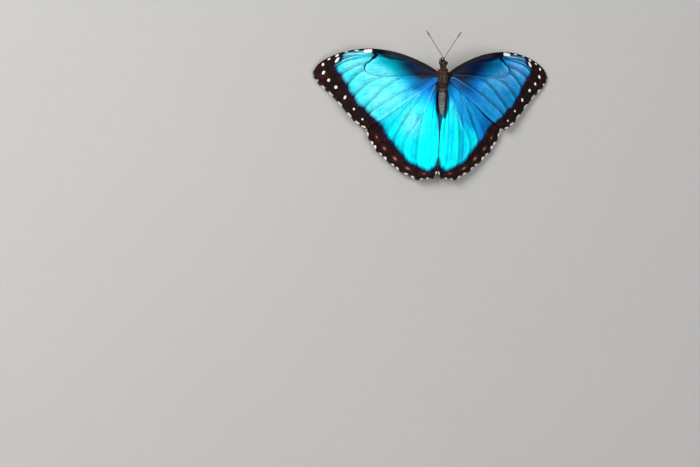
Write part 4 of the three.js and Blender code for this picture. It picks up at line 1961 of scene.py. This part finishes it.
@dataclass
class Body:
    """Head, thorax and abdomen under one skin, and the coat over it."""

    SEGMENT = 1.55

    # [forward, half width, half height, height of the middle, depth of the coat]
    stations: Points = field(default_factory=lambda: [
        [7.5, 0.4, 0.5, -1.55, 0.2], [6.9, 1.1, 1.4, -1.45, 0.22],
        [5.8, 1.7, 1.95, -1.35, 0.28], [4.7, 1.62, 1.75, -1.3, 0.22],
        [3.6, 1.56, 1.5, -1.25, 0.18], [2.6, 2.05, 2.2, -1.2, 0.25],
        [0.6, 2.9, 3.0, -1.2, 0.38], [-2.2, 2.95, 3.1, -1.25, 0.38],
        [-4.6, 2.6, 2.7, -1.3, 0.32], [-5.9, 2.12, 2.2, -1.3, 0.24],
        [-8.5, 2.2, 2.3, -1.35, 0.2], [-12.0, 2.2, 2.25, -1.4, 0.2],
        [-15.5, 1.9, 1.9, -1.45, 0.2], [-18.0, 1.25, 1.2, -1.5, 0.18],
        [-19.15, 0.5, 0.5, -1.5, 0.14]])
    lumps: Sequence[Lump] = (
        Lump((0.95, 2.9, 0.15), (0.75, 0.6, 0.8), 0.32),       # collar pads
        Lump((2.3, 1.3, -0.2), (0.8, 0.8, 0.8), 0.25),         # shoulder plates
        Lump((2.3, 2.7, -0.9), (0.9, 0.9, 1.6), -0.2),         # taper to the neck
        Lump((0.0, 0.6, 1.7), (1.4, 1.9, 0.8), 0.18),          # the thorax's domed back
        Lump((0.0, -3.6, 1.3), (0.9, 0.7, 0.7), 0.3),          # scutellum
        Lump((0.0, -2.6, 1.8), (1.6, 0.22, 0.8), -0.22),       # seam before it
        Lump((0.0, -0.6, 1.9), (0.14, 2.4, 0.6), -0.12),       # seam along the back
        Lump((0.0, 2.1, 1.3), (1.8, 0.25, 1.0), -0.25),        # seam behind the collar
        Lump((0.0, 6.5, 0.0), (0.7, 0.7, 0.6), 0.15),          # crown tuft
        Lump((1.25, 5.85, -1.15), (0.75, 0.85, 0.9), -0.3),    # eye socket
        Lump((0.0, -5.35, 0.9), (2.6, 0.3, 2.4), -0.22),       # waist
    )
    along: int = 300
    around: int = 112
    seed: int = 11

    def _grid(self) -> Array:
        """The skin's places, along x around."""
        part = np.linspace(0.0, 1.0, self.along + 1)
        forward, wide, high, middle, coat = SmoothLine(self.stations).at(part).T
        close = np.sqrt(ramp(part, 1.0, 0.985) * ramp(part, 0.0, 0.012))
        turn = 2 * math.pi * np.arange(self.around + 1) / self.around
        wide, high = (wide - coat) * close, (high - coat) * close
        power = 0.92
        sine, cosine = (np.sign(f(turn)) * np.abs(f(turn)) ** power for f in (np.sin, np.cos))
        places = np.empty((self.along + 1, self.around + 1, 3))
        places[..., 0] = wide[:, None] * -sine
        places[..., 1] = forward[:, None]
        places[..., 2] = middle[:, None] + high[:, None] * -cosine
        return places

    def _sculpt(self, places: Array) -> Array:
        """Raises the lumps and cuts the abdomen's segments.

        Args:
            places: The plain skin's places, along x around x 3.

        Returns:
            The sculpted places.
        """
        surface = Surface.of(places)
        flat = places.reshape(-1, 3)
        rise = sum(lump.rise(flat) for lump in self.lumps)
        y = flat[:, 1]
        grey = ramp(y, -5.8, -7.0) * ramp(y, -19.1, -18.2)
        saw = (-(y + 6.4) / self.SEGMENT) % 1.0
        rise += grey * (0.10 * np.sin(math.pi * saw) ** 0.6 - 0.05 - 0.10 * np.exp(-(saw / 0.07) ** 2)
                        - 0.10 * np.exp(-((1 - saw) / 0.05) ** 2))
        rise -= 0.12 * grey * hump(flat[:, 2], -1.9, 0.22)               # the fold along each side
        ends = np.ones(self.along + 1)
        ends[[0, -1]] = 0.0
        rise = rise.reshape(places.shape[:2]) * ends[:, None]
        grown = places + surface.normals * rise[..., None]
        grown[:, -1] = grown[:, 0]
        return grown

    def build(self) -> None:
        """Builds the skin and plants the coat."""
        places = self._sculpt(self._grid())
        piece = rolled_grid("body_skin", places)
        dress_skin(piece, body_marks(get_places(piece)), ["head", "thorax", "abdomen"])
        self._plant_coat(Surface.of(places))
        self._plant_shoulders()

    def _plant_coat(self, surface: Surface) -> None:
        """Plants the thorax's, abdomen's and head's coats.

        Args:
            surface: The skin.
        """
        x, y, z = np.moveaxis(surface.places, -1, 0)
        x = np.abs(x)
        sockets = np.exp(-((x - 1.4) / 0.7) ** 2 - ((y - 5.85) / 0.9) ** 2 - ((z + 1.15) / 0.9) ** 2)
        zones = (
            ("thorax_coat", ramp(y, -6.0, -5.2) * ramp(y, 3.9, 3.2), 10500,
             Tuft((0.6, 1.1), 0.09, 0.22, 0.32), Slot.BROWN_HAIR),
            ("abdomen_coat", ramp(y, -5.2, -6.0), 10500,
             Tuft((0.35, 0.65), 0.08, 0.13, 0.25), Slot.GREY_HAIR),
            ("head_coat", ramp(y, 3.3, 3.9) * (1 - np.clip(1.3 * sockets, 0, 1)), 3800,
             Tuft((0.35, 0.6), 0.07, 0.35, 0.4), Slot.BROWN_HAIR),
        )
        for number, (name, density, count, tuft, slot) in enumerate(zones):
            rng = np.random.default_rng(self.seed + number)
            roots = surface.scatter(count, density, rng)
            if name == "head_coat":
                roots.lay = roots.lay + np.array([0.0, 1.2, 0.6]) * ramp(
                    roots.places[:, 1], 5.0, 6.2)[:, None]
            dress_coat(tuft.plant(name, roots, rng))

    def _plant_shoulders(self) -> None:
        """Plants the long hair over the wings' roots and beside the abdomen."""
        rng = np.random.default_rng(self.seed + 9)
        count = 900
        outward = np.minimum(2.1 + rng.exponential(0.95, count), 6.6)
        front = np.interp(outward, [2.2, 6.5], [0.9, 3.7])
        depth = np.interp(outward, [2.2, 3.4, 6.5], [4.6, 2.2, 1.0])
        forward = front - depth * rng.random(count) ** 1.4
        z = 0.12 - outward * math.tan(math.radians(FOREWING.droop)) + rng.uniform(0.0, 0.3, count)
        side = np.where(rng.random(count) < 0.5, 1.0, -1.0)
        places = np.column_stack([outward * side, forward, z])
        normals = np.column_stack([0.2 * side, np.zeros(count), np.full(count, 0.98)])
        lay = np.column_stack([side * 0.8, 0.18 * forward + 0.05, np.full(count, -0.15)])
        unwrap = np.column_stack([0.25 - 0.06 * side * outward + 0.25 * (side < 0),
                                  (7.6 - forward) / 27.0])
        tuft = Tuft((0.5, 1.5), 0.09, 0.12, 0.4)
        shorter = np.interp(outward, [2.1, 6.5], [1.0, 0.45])
        roots = Roots(places, normals, lay, np.clip(unwrap, 0.0, 1.0))
        piece = tuft.plant("shoulder_hair", roots, rng, shorter)
        dress_coat(piece, warm=0.75)


def dress_skin(piece: Piece, marks: dict[str, Array], nodes: Sequence[str]) -> None:
    """Gives a skin its markings and its finish.

    Args:
        piece: The skin.
        marks: Its markings.
        nodes: The solids that it takes the place of.
    """
    set_fields(piece, marks)
    finish_piece(piece, [BodyHair("body skin", tufted=False)], nodes)


def dress_coat(piece: Piece, warm: float = 0.0) -> None:
    """Gives a coat piece the body's markings and its finish.

    Args:
        piece: The coat piece.
        warm: How reddish it is at least.
    """
    marks = body_marks(get_places(piece))
    marks["warm"] = np.maximum(marks["warm"], warm)
    set_fields(piece, marks)
    finish_piece(piece, [BodyHair()])


# ------------------------------------------------------------------ head pieces and limbs


@dataclass
class Eye:
    """A compound eye."""

    side: Side
    centre: tuple[float, float, float] = (1.35, 5.85, -1.15)
    radius: float = 1.0
    segments: int = 48

    def build(self) -> None:
        """Builds the eye."""
        set_down_everything()
        centre = np.array(self.centre) * self.side.mirror
        bpy.ops.mesh.primitive_uv_sphere_add(segments=self.segments, ring_count=self.segments // 2,
                                             radius=self.radius * MM,
                                             location=((centre + HINGE) * MM).tolist())
        piece = bpy.context.object
        piece.name = piece.data.name = f"eye_ball_{self.side.word}"
        bpy.ops.object.transform_apply(location=True, rotation=True, scale=True)
        away = get_places(piece) - centre
        inner = ramp(away[:, 0] * self.side.value, 0.0, -self.radius)
        away[:, 0] *= 1.0 - 0.35 * inner
        away[:, 2] *= 1.04
        set_places(piece, centre + away)
        finish_piece(piece, [EyeGloss()], [f"eye_{self.side.word}"])


@dataclass
class Antenna:
    """A feeler: a thin ringed shaft with a slender club."""

    side: Side
    root: tuple[float, float, float] = (0.36, 6.95, -0.62)
    length: float = 16.8
    spread: float = 35.4
    outward_turn: float = 3.0
    shaft: float = 0.14
    club: float = 0.27
    club_length: float = 4.0
    joint: float = 0.45

    def build(self) -> None:
        """Builds the feeler."""
        steps = 190
        part = np.linspace(0.0, 1.0, steps + 1)
        heading = np.radians(self.spread + self.outward_turn * (part - 0.5))
        heading *= ramp(part * self.length, 0.5, 2.3)
        stride = self.length / steps
        path = np.empty((steps + 1, 3))
        path[:, 0] = self.root[0] + np.cumsum(np.sin(heading)) * stride
        path[:, 1] = self.root[1] + np.cumsum(np.cos(heading)) * stride
        path[:, 2] = self.root[2] - 0.18 * ramp(part * self.length, 0.3, 1.6)
        from_tip = (1.0 - part) * self.length
        into_club = np.clip(1.0 - from_tip / self.club_length, 0.0, 1.0)
        radii = self.shaft + (self.club - self.shaft) * np.sin(math.pi * np.minimum(into_club, 0.86)) ** 1.3
        radii *= 1.0 - 0.13 * (np.abs(((part * self.length / self.joint) % 1.0) - 0.5) > 0.38)
        radii += 0.14 * ramp(part * self.length, 0.7, 0.3)
        radii[-1] = 0.06
        piece, _ = tube(f"feeler_{self.side.word}", path, radii, 10, self.side)
        finish_piece(piece, [Horn()], [f"antenna_{self.side.word}"])


@dataclass
class Palp:
    """A labial palp, brushy with short scales, that curves up before the face."""

    side: Side
    path: Points = ((0.55, 6.4, -2.6), (0.58, 7.5, -2.5), (0.56, 8.15, -2.0), (0.54, 8.4, -1.35))
    radii: tuple[float, ...] = (0.30, 0.32, 0.27, 0.12)

    def build(self) -> None:
        """Builds the palp and its coat."""
        part = np.linspace(0.0, 1.0, 36)
        path = SmoothLine(self.path).at(part)
        radii = np.interp(part, np.linspace(0, 1, len(self.radii)), self.radii)
        piece, surface = tube(f"palp_skin_{self.side.word}", path, radii, 16, self.side)
        dress_skin(piece, palp_marks(get_places(piece)), [f"palp_{self.side.word}"])
        rng = np.random.default_rng(31)
        roots = surface.scatter(420, np.ones(surface.places.shape[:2]), rng)
        coat = Tuft((0.25, 0.42), 0.07, 0.2, 0.25, bury=0.04).plant(
            f"palp_coat_{self.side.word}", roots, rng)
        set_fields(coat, palp_marks(get_places(coat)))
        finish_piece(coat, [BodyHair()])


def palp_marks(places: Array) -> dict[str, Array]:
    """A palp's markings: dark above and outward, pale on its under edge.

    Args:
        places: Millimetres about the hinge, one row a vertex.

    Returns:
        The same fields as body_marks gives.
    """
    pale = 0.5 * ramp(places[:, 2], -2.5, -2.9)
    nothing = np.zeros(len(places))
    return {"grey": nothing, "dark": 0.8 * (1 - pale), "pale": pale, "warm": nothing}


@dataclass
class Tongue:
    """The tongue, coiled upright under the head."""

    centre: tuple[float, float, float] = (0.0, 6.95, -4.35)
    outer: float = 1.25
    inner: float = 0.35
    turns: float = 1.5
    radius: float = 0.24

    def build(self) -> None:
        """Builds the coil."""
        part = np.linspace(0.0, 1.0, 150)
        reach = self.outer + (self.inner - self.outer) * part
        turn = 2 * math.pi * self.turns * part
        path = np.column_stack([np.zeros_like(part), self.centre[1] - reach * np.sin(turn),
                                self.centre[2] + reach * np.cos(turn)])
        radii = self.radius * (1.0 - 0.35 * part) * (1.0 + 0.05 * np.sign(np.sin(part * 260)))
        piece, _ = tube("tongue", path, radii, 12)
        finish_piece(piece, [Horn()], ["proboscis"])


@dataclass
class Leg:
    """A leg: thigh, shin and a foot of short joints with two claws, or a brush without claws."""

    name: str
    side: Side
    corners: Points                 # as [outward, forward, above the floor]
    radii: tuple[float, ...] = (0.42, 0.34, 0.2, 0.17, 0.13)
    hairs: int = 450
    brush: bool = False

    def _path(self) -> tuple[Array, Array]:
        """The leg's middle line and its radius along it."""
        corners = np.asarray(self.corners, float) - [0.0, 0.0, HINGE_HEIGHT]
        path = rounded_path(corners, 0.14, 0.9)
        reach = lengths_along(corners)
        where = np.linspace(0.0, reach[-1], len(path))
        radius = np.interp(where, reach, self.radii)
        for start, end in zip(reach[:2], reach[1:3]):
            inside = np.clip((where - start) / (end - start), 0.0, 1.0)
            radius *= 1.0 + 0.22 * np.sin(math.pi * inside) * (inside > 0) * (inside < 1)
        foot = np.clip((where - reach[-2]) / (reach[-1] - reach[-2]), 0.0, 1.0)
        joints = np.abs(((foot * 4.0) % 1.0) - 0.5) * 2
        radius *= 1.0 - 0.25 * (foot > 0) * joints ** 4
        return path, radius

    def build(self) -> None:
        """Builds the leg with its spines and claws."""
        path, radius = self._path()
        label = f"{self.name}_limb_{self.side.word}"
        shaft, surface = tube(label, path, radius, 14, self.side)
        density = np.ones(surface.places.shape[:2])
        word, tuft = "brush", Tuft((0.35, 0.6), 0.08, 0.3, 0.3, bury=0.04)
        if not self.brush:
            shaft = join_pieces(label, [shaft, self._claw(path, -0.16), self._claw(path, 0.16)])
            above_floor = surface.places[..., 2] + HINGE_HEIGHT
            density *= (above_floor > 0.7) | (surface.normals[..., 2] > 0.4)
            density[: len(path) // 8] *= 0.2
            word, tuft = "bristles", Tuft((0.22, 0.4), 0.055, 0.45, 0.2, bury=0.03)
        finish_piece(shaft, [Horn()], [f"{self.name}_{self.side.word}"])
        rng = np.random.default_rng(47)
        roots = surface.scatter(self.hairs, density, rng)
        dress_coat(tuft.plant(f"{self.name}_{word}_{self.side.word}", roots, rng))

    def _claw(self, path: Array, outward: float) -> Piece:
        """One hooked claw at the foot's tip.

        Args:
            path: The leg's middle line.
            outward: How far to the side the claw turns, in millimetres.

        Returns:
            The claw.
        """
        way = path[-1] - path[-6]
        way /= np.linalg.norm(way)
        across = np.array([way[1], -way[0], 0.0])
        bend = np.linspace(0.0, 1.0, 9)[:, None]
        claw = (path[-1] + way * (0.42 * bend - 0.1) + across * outward * bend
                + np.array([0.0, 0.0, 1.0]) * (0.10 * np.sin(math.pi * bend) - 0.08 * bend))
        return tube("claw", claw, 0.07 * (1.0 - 0.85 * bend[:, 0]), 8, self.side)[0]


MIDLEG = ((1.3, -0.4, 9.6), (6.4, 0.4, 9.0), (8.6, 1.1, 1.6), (9.5, 1.4, 0.2), (12.4, 2.2, 0.2))
HINDLEG = ((1.3, -3.6, 9.7), (6.0, -6.4, 8.6), (8.4, -12.0, 1.7), (9.2, -13.8, 0.2),
           (10.7, -17.4, 0.2))
FORELEG = ((0.95, 1.5, 9.6), (1.0, 2.6, 9.2), (0.95, 2.85, 8.7), (0.85, 2.4, 8.3),
           (0.75, 1.2, 8.15), (0.7, 0.2, 8.3))


# ------------------------------------------------------------------ stage


@dataclass
class Studio:
    """The floor, the soft lights and the camera."""

    lean: float = -26.65            # degrees that the line of sight leans to the animal's left
    dip: float = 1.91               # degrees that it leans back
    roll: float = 0.32
    distance: float = 950.0
    lens: float = 101.8
    sensor: float = 36.0
    offset: tuple[float, float] = (0.1349, 0.2261)    # of the hinge from the middle, in widths

    def build(self) -> None:
        """Builds the floor, the lights and the camera."""
        self._floor()
        self._camera()
        self._lights()

    def _floor(self) -> None:
        """Lays the floor."""
        set_down_everything()
        bpy.ops.mesh.primitive_circle_add(vertices=96, radius=3.0, fill_type="NGON")
        floor = bpy.context.object
        floor.name = floor.data.name = "floor"
        floor.data.materials.append(PaleFloor().material())

    def _camera(self) -> None:
        """Sets the camera over the animal, turned so that the hinge falls in its place."""
        lean, dip, roll = (math.radians(a) for a in (self.lean, self.dip, self.roll))
        sight = Vector((math.sin(lean) * math.cos(dip), -math.sin(dip), math.cos(lean) * math.cos(dip)))
        right = Vector((math.cos(lean), 0.0, -math.sin(lean)))
        up = sight.cross(right)
        right, up = (right * math.cos(roll) + up * math.sin(roll),
                     up * math.cos(roll) - right * math.sin(roll))
        upright = Matrix((right, up, sight)).transposed()
        reach = self.lens / self.sensor
        aim = Vector((self.offset[0] / reach, self.offset[1] / reach, -1.0))
        swing = Vector((0.0, 0.0, -1.0)).rotation_difference(aim).to_matrix()
        turn = upright @ swing.transposed()
        camera = bpy.data.objects.new("camera", bpy.data.cameras.new("camera"))
        bpy.context.collection.objects.link(camera)
        camera.data.lens = self.lens
        camera.data.sensor_width = self.sensor
        camera.data.clip_start = 0.05
        place = (Vector(HINGE) + sight * self.distance) * MM
        camera.matrix_world = Matrix.Translation(place) @ turn.to_4x4()
        bpy.context.scene.camera = camera

    def _lights(self) -> None:
        """Hangs a wide light overhead, a stronger one at the animal's left and a faint one right."""
        target = Vector(HINGE) * MM
        for name, place, size, power, colour in (
            ("overhead", (0.33, -0.12, 1.05), 1.0, 4.8, (1.0, 1.0, 1.0)),
            ("left_key", (-0.95, 0.4, 0.75), 0.6, 17.4, (1.0, 0.98, 0.95)),
            ("right_soft", (0.9, -0.15, 0.85), 0.5, 0.8, (0.97, 0.99, 1.0)),
        ):
            light = bpy.data.lights.new(name, "AREA")
            light.shape = "DISK"
            light.size = size
            light.energy = power
            light.color = colour
            lamp = bpy.data.objects.new(name, light)
            bpy.context.collection.objects.link(lamp)
            lamp.location = target + Vector(place)
            lamp.rotation_euler = (-Vector(place)).to_track_quat("-Z", "Y").to_euler()
            lamp.visible_camera = False
        world = bpy.data.worlds.new("studio")
        world.use_nodes = True
        sky = world.node_tree.nodes["Background"]
        sky.inputs["Color"].default_value = (0.9, 0.94, 1.0, 1.0)
        sky.inputs["Strength"].default_value = 0.15
        bpy.context.scene.world = world
        bpy.context.scene.view_settings.view_transform = "Standard"


# ------------------------------------------------------------------ the animal


def build_butterfly() -> None:
    """Builds every piece of the butterfly."""
    for side in Side:
        Wing("forewing", FOREWING, FOREWING_VEINS, FOREWING_PATTERN, forewing_soot, forewing_glow,
             forewing_frost, forewing_smoke, side=side, glints=FOREWING_GLINTS, settle=-0.5).build()
        Wing("hindwing", HINDWING, HINDWING_VEINS, HINDWING_PATTERN, hindwing_soot, hindwing_glow,
             hindwing_frost, hindwing_smoke, cells=(150, 150), side=side, seed=7, settle=0.35,
             valleys=HINDWING_VALLEYS, glints=HINDWING_GLINTS, folds=HINDWING_ABDOMEN_SHADOWS,
             inner_hair=((0.92, 1.0, 260),)).build()
    Body().build()
    for side in Side:
        Eye(side).build()
        Antenna(side).build()
        Palp(side).build()
        Leg("midleg", side, MIDLEG).build()
        Leg("hindleg", side, HINDLEG).build()
        Leg("foreleg", side, FORELEG, (0.3, 0.26, 0.25, 0.24, 0.2, 0.1), 520, brush=True).build()
    Tongue().build()


def main() -> None:
    """Builds the scene."""
    build_butterfly()
    Studio().build()
    log.info("boxes written")


if __name__ == "__main__":
    main()
